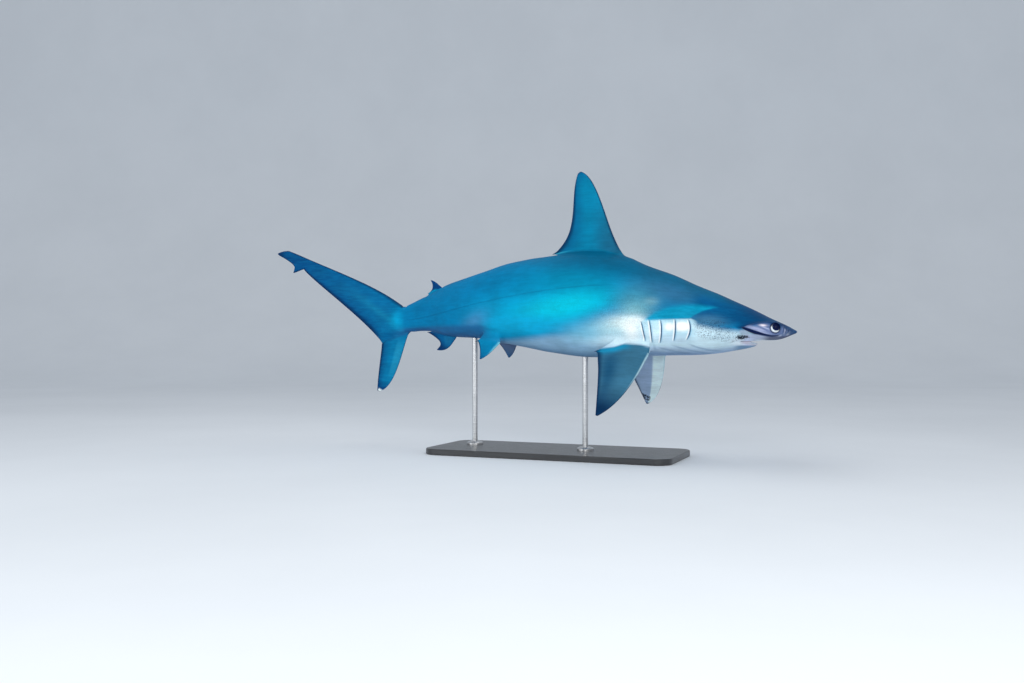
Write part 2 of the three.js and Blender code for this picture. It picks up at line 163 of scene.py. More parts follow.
def push_clear(p, clearance):
    """Moves a point out from the body's axis until it stands that far off the body's surface."""
    top, bottom, half, widest = (float(v) for v in lines_at(BODY_LINES, min(p[0], 1700)))
    up = p[2] >= widest
    power = BACK_FULLNESS if up else BELLY_FULLNESS
    reach = top - widest if up else widest - bottom
    level = (abs(p[1] / half) ** power + abs((p[2] - widest) / reach) ** power) ** (1 / power)
    radius = math.hypot(p[1], p[2] - widest) / max(level, 1e-6)
    wanted = 1 + clearance / radius
    if level >= wanted:
        return p
    grow = wanted / level
    return np.array([p[0], p[1] * grow, widest + (p[2] - widest) * grow])


# The hammer in plan and in thickness, by the distance l out from its middle
HALF_SPAN = 313
CREST = 0.36
EDGE = 0.05


def smooth_step(x, low, high):
    t = np.clip((x - low) / (high - low), 0, 1)
    return t * t * (3 - 2 * t)


def fade(x, low, high):
    """A mask that is full up to the low value and falls smoothly to nothing at the high one."""
    return 1 - smooth_step(x, low, high)


def hammer_front(l):
    """The front margin: bowed back towards the ends, with a notch in the middle and two more on each side."""
    out = abs(l)
    round_end = 26 * max((out - 292) / (HALF_SPAN - 292), 0) ** 2
    return 1 + 55 * (out / 292) ** 2 + 5 * (1 + math.cos(2 * math.pi * out / 122)) + round_end


def hammer_back(l):
    """The rear margin: nearly straight between the root, where it runs into the head, and the rounded end."""
    out = abs(l)
    root = 17 * math.exp(-max(out - 112, 0) / 22)
    tip = 78 * max((out - 284) / (HALF_SPAN - 284), 0) ** 1.6
    return min(199 + 5 * ((out - 200) / 90) ** 2 + root - tip, 224)


def foil(c, blunt=0.0, sharpness=0.5):
    """Share of the full thickness at share c of the chord; a blunt section stays thick to near its rear."""
    front = max(1 - ((CREST - c) / CREST) ** 2, 0) ** sharpness
    back = (c - CREST) / (1 - CREST)
    rear = (1 - back**2) * (1 - blunt) + (1 - back**12) * blunt
    return max(front if c < CREST else rear, EDGE)


def hammer_point(l, c, side, full=1.0):
    """A point of the hammer at l and at share c of its chord, above for side 1 and below for -1."""
    front, back = hammer_front(l), hammer_back(l)
    share = abs(l) / HALF_SPAN
    end = max((abs(l) - 280) / (HALF_SPAN - 280), 0)
    half = 29 * (1 - 0.1 * share**2 - 0.22 * end**2) * full
    nose = -17 + 6 * share**2
    level = nose + (-5 - nose) * c
    blunt = 0.6 * float(smooth_step(abs(l), 284, 306))
    sharpness = 1.1 - 0.6 * float(smooth_step(abs(l), 230, 290))
    return np.array([front + (back - front) * c, l, level + side * half * foil(c, blunt, sharpness)])


def blend_max(a, b, width):
    """The larger of two heights, with the corner between them filled over that width."""
    h = max(width - abs(a - b), 0) / width
    return max(a, b) + h * h * width / 4


def head_height(s, l, side):
    """Height of the head's surface over the plan, above for side 1 and below for -1."""
    front, back = hammer_front(l), hammer_back(l)
    c = min(max((s - front) / (back - front), 0), 1)
    wing = hammer_point(l, c, side)[2]
    top, bottom, half, widest = (float(v) for v in lines_at(SKULL_LINES, s))
    power = BACK_FULLNESS if side > 0 else BELLY_FULLNESS
    out = abs(l) / half
    dome = (1 - out**power) ** (1 / power) if out < 1 else -2 * (out - 1)
    skull = widest + dome * (top - widest if side > 0 else bottom - widest)
    return side * blend_max(side * wing, side * skull, 16)


COLUMNS = 32
BACK, LEFT, BELLY = 8, 16, 24
column_angle = [2 * math.pi * k / COLUMNS for k in range(COLUMNS)]
WING_SHARES = [0.028, 0.09, 0.18, 0.29, 0.415, 0.545, 0.675, 0.79, 0.885, 0.95, 0.988]
WING_REAR = len(WING_SHARES)
MOUTH_RING = 9
MOUTH_HALF_COLUMNS = 5
MOUTH_FRONT, MOUTH_DEPTH, MOUTH_HALF_WIDTH = 140, 86, 94
NECK = 310
NECK_SHARES = {10: 0.092, 11: 0.193, 12: 0.34, 13: 0.486, 14: 0.642, 15: 0.8165, 16: 1.0}

cage_points, cage_faces, cage_fin, cage_chord, cage_kind = [], [], [], [], []
KINDS = ["body", "first_dorsal", "second_dorsal", "anal", "pectoral", "pelvic", "caudal", "lobe", "mouth"]


def put(p, fin=0.0, chord=0.5, kind="body"):
    cage_points.append(np.array(p, float))
    cage_fin.append(fin)
    cage_chord.append(chord)
    cage_kind.append(KINDS.index(kind))
    return len(cage_points) - 1


def put_face(*corners):
    distinct = [v for i, v in enumerate(corners) if v != corners[i - 1]]
    if len(distinct) > 2:
        cage_faces.append(distinct)


def lip_height(t):
    """Height of the lower lip from the front (0) to the corner (1) of the mouth; only the front is open."""
    return -51.4 - 9.5 * max(1 - t / 0.42, 0) ** 1.1


def mouth_line(l):
    return MOUTH_FRONT + MOUTH_DEPTH * (1 - math.sqrt(max(1 - (l / MOUTH_HALF_WIDTH) ** 2, 0)))


def ahead_of_mouth(i, start, end):
    """Ring i's place on the way from the front margin of the head to the ring of the mouth."""
    return start + (end - start) * WING_SHARES[max(i, 1) - 1] / WING_SHARES[MOUTH_RING - 1] * (i > 0)


def head_plan(i, k):
    """Where ring i of the head crosses column k, in plan."""
    a = column_angle[k]
    upper = k <= LEFT
    power = 2 / (BACK_FULLNESS if upper else BELLY_FULLNESS)
    across = math.copysign(abs(math.cos(a)) ** power, math.cos(a))
    j = abs(k - BELLY)
    rear_side = 201.0
    if upper:
        width = np.interp(i, [0, 4, 9, 12], [107, 110, 117, 115])
        l = across * width
        if i <= MOUTH_RING:
            return ahead_of_mouth(i, hammer_front(l), rear_side), l
        return rear_side + (NECK - rear_side) * NECK_SHARES[i], l
    width = np.interp(i, [0, 9, 10, 12, 16], [107, 107, 108, 113, 120])
    l = across * width
    mouth = {5: 204.4, 6: 206, 7: 203.5, 8: rear_side}[j] if j >= MOUTH_HALF_COLUMNS else mouth_line(l)
    if i <= MOUTH_RING:
        return ahead_of_mouth(i, hammer_front(l), mouth), l
    return mouth + (NECK - mouth) * NECK_SHARES[i] ** np.interp(j, [0, 8], [1.25, 1.0]), l


ring_vertex = {}
slots = set()


def open_slot(first, last, middle):
    """Leaves out the faces of two columns between two rings, where something grows out."""
    for i in range(first, last):
        slots.add((i, (middle - 1) % COLUMNS))
        slots.add((i, middle % COLUMNS))


open_slot(0, WING_REAR, 0)
open_slot(0, WING_REAR, LEFT)

# The front margin of the head is one line, where its upper and its lower face meet
for k in range(1, LEFT):
    s, l = head_plan(0, k)
    v = put([s, l, hammer_point(l, 0, 0)[2]])
    ring_vertex[0, k] = ring_vertex[0, COLUMNS - k] = v

lower_lip = {}
for i in range(1, 17):
    for k in range(COLUMNS):
        if k % LEFT == 0 and i < WING_REAR:
            continue
        s, l = head_plan(i, k)
        j = abs(k - BELLY)
        if k % LEFT == 0 and i == WING_REAR:
            place = [s, l, -7]
        elif i > 11 or (k > LEFT and i > MOUTH_RING):
            top, bottom, half, widest = (float(v) for v in lines_at(BODY_LINES, s))
            place = body_point(s, column_angle[k])
            if k > LEFT and s < 226:
                share = min(abs(l) / half, 1)
                round_share = (1 - share**BELLY_FULLNESS) ** (1 / BELLY_FULLNESS)
                place = [s, l, widest - (widest - bottom) * round_share]
        else:
            place = [s, l, head_height(s, l, 1 if k < LEFT else -1)]
        if i == MOUTH_RING and k > LEFT and j <= MOUTH_HALF_COLUMNS:
            t = (s - MOUTH_FRONT) / MOUTH_DEPTH
            if j < MOUTH_HALF_COLUMNS:
                lower_lip[k] = put([s + 1.5, l, lip_height(t)], kind="mouth")
                place = [s - 2.5, l, -50]
            else:
                place = [s, l, -50.5]
        ring_vertex[i, k] = put(place)

# The mouth is a shallow pocket between the two lips, folded in along the mouth line
mouth_rows = {}
for k in range(BELLY - MOUTH_HALF_COLUMNS, BELLY + MOUTH_HALF_COLUMNS + 1):
    j = abs(k - BELLY)
    corner = ring_vertex[MOUTH_RING, k]
    if j == MOUTH_HALF_COLUMNS:
        mouth_rows[k] = [corner] * 6
        continue
    s, l = head_plan(MOUTH_RING, k)
    t = (s - MOUTH_FRONT) / MOUTH_DEPTH
    lip = lip_height(t)
    depth = 34 * math.cos(0.5 * math.pi * j / MOUTH_HALF_COLUMNS) ** 0.6
    folds = [
        [s + 1.5, l * 0.98, -45.5],
        [s + 0.25 * depth + 4, l * 0.93, -42],
        [s + depth, l * 0.86, -44],
        [s + depth, l * 0.86, -47.5],
        [s + 0.25 * depth + 6, l * 0.93, lip + 5],
        [s + 4.5, l * 0.98, lip + 2.0],
    ]
    mouth_rows[k] = [corner] + [put(p, kind="mouth") for p in folds] + [lower_lip[k]]
for k in range(BELLY - MOUTH_HALF_COLUMNS, BELLY + MOUTH_HALF_COLUMNS):
    a, b = mouth_rows[k], mouth_rows[k + 1]
    size = max(len(a), len(b))
    a = a if len(a) == size else [a[0]] * size
    b = b if len(b) == size else [b[0]] * size
    for row in range(size - 1):
        put_face(a[row], b[row], b[row + 1], a[row + 1])

# Rings of the body behind the neck
GILL_RINGS = [330, 348, 362, 375, 388, 401, 414, 427, 440, 453, 466, 480, 495]
SHOULDER_RINGS = [511, 526, 541, 557, 574, 592, 614, 641]
TRUNK_RINGS = [668, 696, 725, 755, 785, 815, 845, 875, 905, 935, 968, 1002, 1036, 1070, 1100, 1128]
PELVIC_RINGS = [1146, 1164, 1183, 1205, 1236, 1268, 1300, 1335, 1368, 1404]
TAIL_RINGS = [1425, 1447, 1469, 1490, 1508, 1526, 1544, 1570, 1600, 1632, 1660, 1683]
ring_places = {}
for s in GILL_RINGS + SHOULDER_RINGS + TRUNK_RINGS + PELVIC_RINGS + TAIL_RINGS:
    ring_places[17 + len(ring_places)] = s
ring_of = {s: i for i, s in ring_places.items()}
LAST_BODY_RING = max(ring_places)
for i, s in ring_places.items():
    for k in range(COLUMNS):
        ring_vertex[i, k] = put(body_point(s, column_angle[k]))


def bezier(points, t):
    a, b, c, d = (np.array(p, float) for p in points)
    u = 1 - t
    return a * u**3 + 3 * b * u * u * t + 3 * c * u * t * t + d * t**3


# The upper lobe of the tail fin carries on from the last ring in slanting rows, counted by r:
# the first ones stand over the root of the lower lobe, and the last ones behind the notch near the tip
CAUDAL_TOP = [(1716, 0, 100), (1870, 0, 198), (2100, 0, 278), (2262, 0, 353)]
CAUDAL_TIP = [(2262, 0, 353), (2288, 0, 365), (2312, 0, 360), (2335, 0, 347)]
CAUDAL_UNDER = [(1837, 0, -56), (1915, 0, 32), (2178, 0, 224), (2216, 0, 277)]
LOBE_UNDER = [(2262, 0, 260), (2236, 0, 292), (2290, 0, 318), (2333, 0, 343)]
ROW_SHARES = [0.5, 1.15, 1.9, 2.7, 3.4, 4.0, 4.6, 5.3, 6, 6.8, 7.6, 8.4, 9.2, 10, 10.8, 11.6, 12.4, 13.2]
TIP_SHARES = [13.75, 14, 14.35, 15, 15.5, 16.2, 17, 17.8, 18.6, 19.3, 20]
LOBE_ROOT, NOTCH, PAST_NOTCH, TIP = 4, 14, 15, 20
LOBE_LAST = 6


def caudal_row(r):
    """The two ends of a row, on the upper and the lower margin of the fin."""
    start = ring_places[LAST_BODY_RING]
    start_top, start_bottom = body_point(start, math.pi / 2), body_point(start, -math.pi / 2)
    t = (r - PAST_NOTCH) / (TIP - PAST_NOTCH)
    if r < 1:
        top = start_top + (bezier(CAUDAL_TOP, 0) - start_top) * r
    elif r < LOBE_ROOT:
        top = bezier(CAUDAL_TOP, 0.09 * (r - 1) / (LOBE_ROOT - 1))
    elif r <= NOTCH:
        top = bezier(CAUDAL_TOP, 0.09 + 0.075 * (r - LOBE_ROOT))
    elif r < PAST_NOTCH:
        top = bezier(CAUDAL_TOP, 0.84 + 0.1 * (r - NOTCH))
    elif r < PAST_NOTCH + 1:
        mid = bezier(CAUDAL_TOP, 0.94)
        top = mid + (bezier(CAUDAL_TIP, 0.198) - mid) * (r - PAST_NOTCH)
    else:
        top = bezier(CAUDAL_TIP, t * 0.99)
    if r < LOBE_ROOT:
        under = start_bottom + (bezier(CAUDAL_UNDER, 0) - start_bottom) * r / LOBE_ROOT
    elif r <= NOTCH:
        under = bezier(CAUDAL_UNDER, (r - LOBE_ROOT) / (NOTCH - LOBE_ROOT))
    elif r < PAST_NOTCH:
        ends = bezier(CAUDAL_UNDER, 1), bezier(LOBE_UNDER, 0)
        under = ends[0] + (ends[1] - ends[0]) * (r - NOTCH)
    else:
        under = bezier(LOBE_UNDER, 0.97 * (r - PAST_NOTCH) / (TIP - PAST_NOTCH))
    return top, under


CAUDAL_ROWS = ROW_SHARES + TIP_SHARES
LAST_RING = LAST_BODY_RING + len(CAUDAL_ROWS)
for i, r in enumerate(CAUDAL_ROWS, LAST_BODY_RING + 1):
    top, under = caudal_row(r)
    flatness = float(smooth_step(r, 0, LOBE_ROOT))
    half = 29 * max(1 - r / TIP, 0) ** 1.5 * (1 - 0.25 * flatness) + 2.5
    last = i == LAST_RING
    for k in [*range(BACK, -1, -1), *range(COLUMNS - 1, BACK, -1)]:
        out = (BACK - k) % COLUMNS
        side = 1 if out <= LEFT else -1
        c = 0.5 * (1 - math.cos(math.pi * (out if out <= LEFT else COLUMNS - out) / LEFT))
        if last and side < 0:
            ring_vertex[i, k] = ring_vertex[i, (2 * BACK - k) % COLUMNS]
            continue
        round_share = math.sqrt(max(1 - (2 * c - 1) ** 2, 0))
        thick = half * max(round_share + (foil(c) - round_share) * flatness, EDGE)
        lobe_share = np.clip(r / LOBE_ROOT, 0, 1)
        bulge = 10 * foil(0.08 + 0.8 * lobe_share) * float(smooth_step(c, 0.6, 0.98)) * (r < 4.2)
        thick = max(thick, bulge)
        if k in (BACK, BELLY) or last:
            thick = 0
        p = top + (under - top) * c + np.array([0, side * thick, 0])
        ring_vertex[i, k] = put(p, fin=min(r / LOBE_ROOT, 1) * 0.5 + r / (2 * TIP), chord=c, kind="caudal")


def loop_of_slot(first, last, middle):
    """The vertices round an open slot, from its front end back along one side and forward along the other."""
    around = [ring_vertex[first, middle % COLUMNS]]
    around += [ring_vertex[i, (middle + 1) % COLUMNS] for i in range(first, last + 1)]
    around += [ring_vertex[last, middle % COLUMNS]]
    around += [ring_vertex[i, (middle - 1) % COLUMNS] for i in range(last, first - 1, -1)]
    return around


def join_loops(a, b):
    for j in range(len(a)):
        n = (j + 1) % len(a)
        put_face(a[j], a[n], b[n], b[j])


def close_loop(loop):
    """Closes a flat loop across its thickness, from its leading point to its trailing point."""
    half = (len(loop) - 2) // 2
    upper, lower = loop[1:1 + half], loop[:half + 1:-1]
    put_face(loop[0], upper[0], lower[0])
    for j in range(half - 1):
        put_face(upper[j], upper[j + 1], lower[j + 1], lower[j])
    put_face(upper[-1], loop[half + 1], lower[-1])


def grow_fin(first, last, middle, fin):
    """Grows a fin out of a slot in the body, in rows from root to tip."""
    open_slot(first, last, middle)
    loop = loop_of_slot(first, last, middle)
    count = last - first + 1
    shares = [0.5 * (1 - math.cos(math.pi * (j + 1) / (count + 1))) for j in range(count)]
    outward = sum(cage_points[v] for v in loop[1:1 + count]) - sum(cage_points[v] for v in loop[count + 2:])
    normal = fin["normal"] * (1 if np.dot(outward, fin["normal"]) > 0 else -1)
    last_row = len(fin["rows"]) - 1
    for row, (t, u) in enumerate(fin["rows"]):
        half = fin["half"][0] + (fin["half"][1] - fin["half"][0]) * t**0.75
        half += fin.get("flare", 0) * math.exp(-t / 0.06)
        half *= 0.6 if row == last_row else 1
        a, b = bezier(fin["lead"], t), bezier(fin["trail"], u)
        clearance = fin["clear"][row] if row < len(fin["clear"]) else 0

        def at(c, side):
            p = a + (b - a) * c
            if clearance:
                p = push_clear(p, clearance * float(smooth_step(c, 0.0, 0.4)))
            return put(p + normal * side * half * foil(c), fin=0.02 + 0.98 * t, chord=c, kind=fin["kind"])

        new = [at(0, 0)]
        new += [at(c, 1) for c in shares]
        new += [at(1, 0)]
        new += [at(c, -1) for c in reversed(shares)]
        join_loops(loop, new)
        loop = new
    close_loop(loop)


def fin_rows(steps, start=0.05, second=0.12):
    """Shares of the leading and the trailing edge for each row; the first row keeps the free rear tip."""
    rows = [(start, 0.0), (second, 0.05)]
    for i in range(steps):
        t = second + (0.985 - second) * math.sin(0.5 * math.pi * (i + 1) / steps)
        rows.append((t, 0.05 + (0.985 - 0.05) * (t - second) / (0.985 - second)))
    return rows


sideways = np.array([0.0, 1.0, 0.0])
FIRST_DORSAL = dict(
    lead=[(641, 0, 279), (711, 0, 355), (738, 0, 595), (822, 0, 615)],
    trail=[(937, 0, 290), (814, 0, 375), (871, 0, 508), (829, 0, 611)],
    half=(17, 4), flare=4, clear=[6, 14], rows=fin_rows(9), normal=sideways, kind="first_dorsal",
)
SECOND_DORSAL = dict(
    lead=[(1486, 0, 175), (1508, 0, 191), (1534, 0, 210), (1556, 0, 213)],
    trail=[(1574, 0, 156), (1547, 0, 165), (1537, 0, 190), (1557, 0, 210)],
    half=(7, 2), flare=0, clear=[4, 7], rows=fin_rows(5, 0.08, 0.24), normal=sideways, kind="second_dorsal",
)
ANAL = dict(
    lead=[(1400, 0, -30), (1432, 0, -62), (1450, 0, -98), (1522, 0, -88)],
    trail=[(1577, 0, -11), (1500, 0, -46), (1478, 0, -58), (1520, 0, -85)],
    half=(8, 2), flare=0, clear=[3, 6], rows=fin_rows(6, 0.06, 0.2), normal=sideways, kind="anal",
)
LOWER_LOBE = dict(
    lead=[(1688, 0, -14), (1724, 0, -80), (1762, 0, -262), (1856, 0, -275)],
    trail=[(1838, 0, -58), (1838, 0, -90), (1860, 0, -200), (1862, 0, -272)],
    rows=[(t, t) for t in (0.06, 0.14, 0.24, 0.36, 0.48, 0.6, 0.72, 0.83, 0.92, 0.985)],
    half=(11, 2.5), clear=[], normal=sideways, kind="lobe",
)
PECTORAL = dict(
    origins=[(511, 109, -85), (503, 109, -85)],
    tips=[(647, 306, -311), (644, 320, -304)],
    corner=(714, 126, -86),
    lead=[(0, 0), (0.35, -0.13), (0.87, -0.3), (1.03, -0.02)],
    trail=[(0, 1), (0.14, 0.78), (0.72, 0.28), (1.03, 0)],
    half=(15, 3.5), flare=4, clear=[10], rows=fin_rows(10), kind="pectoral",
)
PELVIC = dict(
    origins=[(1128, 66, -50), (1128, 66, -50)],
    tips=[(1198, 106, -121), (1198, 106, -118)],
    corner=(1240, 66, -48),
    lead=[(0, 0), (0.4, -0.1), (0.85, -0.16), (1.02, -0.02)],
    trail=[(0, 1), (0.2, 0.7), (0.6, 0.34), (1.02, 0.02)],
    half=(8, 2), flare=0, clear=[6], rows=fin_rows(5, 0.08, 0.25), kind="pelvic",
)


def paired(fin, side):
    """A paired fin lies in the plane of its origin, its tip and its free rear corner."""
    origin = np.array(fin["origins"][0 if side > 0 else 1], float)
    along = np.array(fin["tips"][0 if side > 0 else 1], float) - origin
    back = np.array(fin["corner"], float) - origin
    mirror = np.array([1, side, 1])
    normal = np.cross(along, back) * mirror
    found = dict(fin, normal=normal / np.linalg.norm(normal))
    for edge in ("lead", "trail"):
        found[edge] = [(origin + along * p + back * q) * mirror for p, q in fin[edge]]
    return found


grow_fin(ring_of[641], ring_of[905], BACK, FIRST_DORSAL)
grow_fin(ring_of[1490], ring_of[1570], BACK, SECOND_DORSAL)
grow_fin(ring_of[1404], ring_of[1544], BELLY, ANAL)
grow_fin(LAST_BODY_RING, LAST_BODY_RING + LOBE_LAST, BELLY, LOWER_LOBE)
for side, pectoral_column, pelvic_column in ((1, 28, 27), (-1, 20, 21)):
    grow_fin(ring_of[511], ring_of[641], pectoral_column, paired(PECTORAL, side))
    grow_fin(ring_of[1128], ring_of[1205], pelvic_column, paired(PELVIC, side))

# The wings of the hammer grow out of the sides of the head
WING_STATIONS = [126, 142, 160, 180, 200, 220, 239, 256, 270, 282, 292, 301, 308, 311.6, 313, 313.6, 313.9]
END_FULLNESS = {301: 0.98, 308: 0.9, 311.6: 0.76, 313: 0.56, 313.6: 0.34, 313.9: 0.12}
for side, column in ((1, 0), (-1, LEFT)):
    upper, lower = (1, COLUMNS - 1) if side > 0 else (LEFT - 1, LEFT + 1)
    loop = [ring_vertex[0, upper]] + [ring_vertex[i, upper] for i in range(1, WING_REAR + 1)]
    loop += [ring_vertex[WING_REAR, column]] + [ring_vertex[i, lower] for i in range(WING_REAR, 0, -1)]
    for out in WING_STATIONS:
        full = END_FULLNESS.get(out, 1.0)
        l = side * out
        new = [put(hammer_point(l, 0, 0))]
        new += [put(hammer_point(l, c, 1, full)) for c in WING_SHARES]
        new += [put(hammer_point(l, 1, 0))]
        new += [put(hammer_point(l, c, -1, full)) for c in reversed(WING_SHARES)]
        join_loops(loop, new)
        loop = new
    close_loop(loop)

# The faces between the rings, but for the slots
for i in range(LAST_RING):
    for k in range(COLUMNS):
        if (i, k) in slots:
            continue
        n = (k + 1) % COLUMNS
        corners = [(i, k), (i, n), (i + 1, n), (i + 1, k)]
        if any(c not in ring_vertex for c in corners):
            continue
        ids = [ring_vertex[c] for c in corners]
        if i == MOUTH_RING:
            for place, column in ((0, k), (1, n)):
                ids[place] = lower_lip.get(column, ids[place])
        put_face(*ids)

skin_mesh = bpy.data.meshes.new("shark_skin")
skin_mesh.from_pydata([tuple(p) for p in cage_points], [], cage_faces)
shell = bmesh.new()
shell.from_mesh(skin_mesh)
bmesh.ops.recalc_face_normals(shell, faces=shell.faces[:])
if shell.calc_volume(signed=True) < 0:
    bmesh.ops.reverse_faces(shell, faces=shell.faces[:])
shell.to_mesh(skin_mesh)
shell.free()


def show(name, data):
    made = bpy.data.objects.new(name, data)
    bpy.context.scene.collection.objects.link(made)
    return made


def store(mesh, name, values, kind="FLOAT", field="value"):
    data = mesh.attributes.new(name, kind, "POINT").data
    data.foreach_set(field, np.ascontiguousarray(values, dtype=np.float32).ravel())


skin = show("shark_skin", skin_mesh)
store(skin_mesh, "fin_share", cage_fin)
store(skin_mesh, "chord_share", cage_chord)
for number, name in enumerate(KINDS[1:], 1):
    store(skin_mesh, "is_" + name, [float(kind == number) for kind in cage_kind])
rounding = skin.modifiers.new("rounding", "SUBSURF")
rounding.levels = 1
FIT_PASSES = 9
SKIN_LEVELS = 3


def read_points(mesh):
    found = np.empty(len(mesh.vertices) * 3)
    mesh.vertices.foreach_get("co", found)
    return found.reshape(-1, 3)


# The cage is moved until the rounded skin passes through the wanted places
wanted = np.array(cage_points)
cage = wanted.copy()
for turn in range(FIT_PASSES):
    skin_mesh.vertices.foreach_set("co", cage.ravel())
    skin_mesh.update()
    fitted = skin.evaluated_get(bpy.context.evaluated_depsgraph_get()).data
    missed = wanted - read_points(fitted)[: len(wanted)]
    cage += missed
skin_mesh.vertices.foreach_set("co", cage.ravel())
rounding.levels = SKIN_LEVELS
skin_mesh.update()
rounded = bpy.data.meshes.new_from_object(skin.evaluated_get(bpy.context.evaluated_depsgraph_get()))
skin.modifiers.remove(rounding)
skin.data = rounded
bpy.data.meshes.remove(skin_mesh)
straight = read_points(rounded)
outward = np.empty(straight.size)
rounded.vertices.foreach_get("normal", outward)
outward = outward.reshape(-1, 3)
s, out, z = straight[:, 0].copy(), np.abs(straight[:, 1]), straight[:, 2].copy()
flank_side = np.sign(straight[:, 1])


def read_share(name):
    found = np.empty(len(straight))
    rounded.attributes[name].data.foreach_get("value", found)
    return found


fin_masks = [read_share("is_" + name) for name in KINDS[1:]]
first_dorsal, second_dorsal, anal, pectoral, pelvic, caudal, lobe, in_mouth = fin_masks
fin_share, chord_share = read_share("fin_share"), read_share("chord_share")
any_fin = sum(fin_masks[:-1])
flesh = np.clip(1 - any_fin, 0, 1)
top, bottom, _, widest = lines_at(BODY_LINES, np.clip(s, 120, 1711))
rise = np.clip(np.where(z > widest, (z - widest) / (top - widest), (z - widest) / (widest - bottom)), -1, 1)


def spot(at_s, at_z, reach_s, reach_z, tilt=0.0, power=2):
    """A soft oval mask on both flanks; tilt is its rise per step back, and a higher power fills it out."""
    along, up = (s - at_s) / reach_s, (z - at_z - tilt * (s - at_s)) / reach_z
    return np.exp(-(np.hypot(along, up) ** power))


def drawn_to(gap, near, far):
    """Draws distances from an edge towards it, so that the mesh follows the edge closely."""
    return gap * smooth_step(np.abs(gap), near, far)


# Five gill slits on each side: distance at mid height, bow, slant, height of the middle, half height
GILL_SLITS = [
    (374.5, 9.0, -3.5, -9, 37),
    (423.5, 3.5, -3.0, -10, 40),
    (469.5, 5.5, -3.0, -15, 43),
    (505.0, 2.5, 2.5, -14, 42),
    (531.0, 2.0, 5.0, -15, 37),
]
GILL_FLAP, GILL_DEPTH = 1.5, 2.4
lift = np.zeros(len(s))
gill_gap, gill_run = np.full(len(s), 1e3), np.zeros(len(s))
for at_s, bow, slant, level, half in GILL_SLITS:
    v = (z - level) / half
    behind = s - (at_s + bow * v * v + slant * v)
    length = np.clip(1 - np.abs(v) ** 3, 0, 1) * flesh * (out > 60)
    drawn = drawn_to(behind, 0.5, 3.4)
    straight[:, 0] += (length > 0) * (drawn - behind)
    flap = GILL_FLAP * np.exp(-((behind / 16) ** 2)) * np.clip(1 - v**2, 0, 1)
    groove = -GILL_DEPTH * np.exp(-(((behind - 1.6) / 2.8) ** 2))
    lift += length * np.where(behind < 0, flap, groove)
    nearest = np.abs(behind) < np.abs(gill_gap)
    gill_gap[nearest] = drawn[nearest]
    gill_run[nearest] = (length**0.5 * fade(np.abs(behind), 8, 11))[nearest]

# Soft swellings of muscle, the pit above the root of the tail, and the crease behind the corner of the mouth
lift += flesh * 0.7 * np.sin(s / 41 + z / 53) * np.sin(z / 27 - s / 83) * smooth_step(s, 240, 330)
lift += 3.0 * flesh * spot(560, -42, 42, 26)
lift -= 4.5 * np.exp(-(((s - 1700) / 7) ** 2)) * smooth_step(rise, 0.55, 0.95) * (s < 1740)
crease = np.exp(-(((z + 50 + 0.25 * (s - 205)) / 2.6) ** 2)) * smooth_step(s, 198, 208) * fade(s, 232, 252)
lift -= 2.2 * crease * (out > 70)

# Faint folds of the throat, each from its front to its rear end with a bow down
THROAT_FOLDS = [(255, -84, 392, -56, 12), (290, -95, 450, -60, 10), (345, -99, 500, -68, 8)]
throat_folds = []
for front_s, front_z, rear_s, rear_z, bow in THROAT_FOLDS:
    t = np.clip((s - front_s) / (rear_s - front_s), 0, 1)
    below = z - (front_z + (rear_z - front_z) * t - 4 * bow * t * (1 - t))
    fold = np.exp(-((below / 3.4) ** 2)) * smooth_step(t, 0, 0.3) * fade(t, 0.8, 1.0) * flesh
    throat_folds.append(fold)
    lift -= 0.9 * fold

# Nostrils, each a slanting slit at the front margin near the eye, and a shallow groove inward from it
NOSTRIL_OUT, NOSTRIL_HEIGHT, NOSTRIL_HALF = 250, -15, 14
at_front = fade(s - np.array([hammer_front(v) for v in np.minimum(out, HALF_SPAN)]), 10, 26)
along = ((out - NOSTRIL_OUT) - (z - NOSTRIL_HEIGHT)) / math.sqrt(2)
across = ((out - NOSTRIL_OUT) + (z - NOSTRIL_HEIGHT)) / math.sqrt(2)
nostril = np.exp(-((along / NOSTRIL_HALF) ** 4) - ((across / 3.4) ** 2)) * at_front * (out > 200)
rim = np.exp(-((along / (NOSTRIL_HALF + 3)) ** 4) - (((across - 7) / 4) ** 2)) * at_front * (out > 200)
rim *= fade(z, -4, 5)
groove_run = smooth_step(out, 165, 200) * fade(out, 236, 246)
nose_groove = groove_run * at_front * np.exp(-(((z + 13) / 3.2) ** 2))
lift += 1.5 * rim - 6.5 * nostril - 2.2 * nose_groove
straight += outward * lift[:, None]

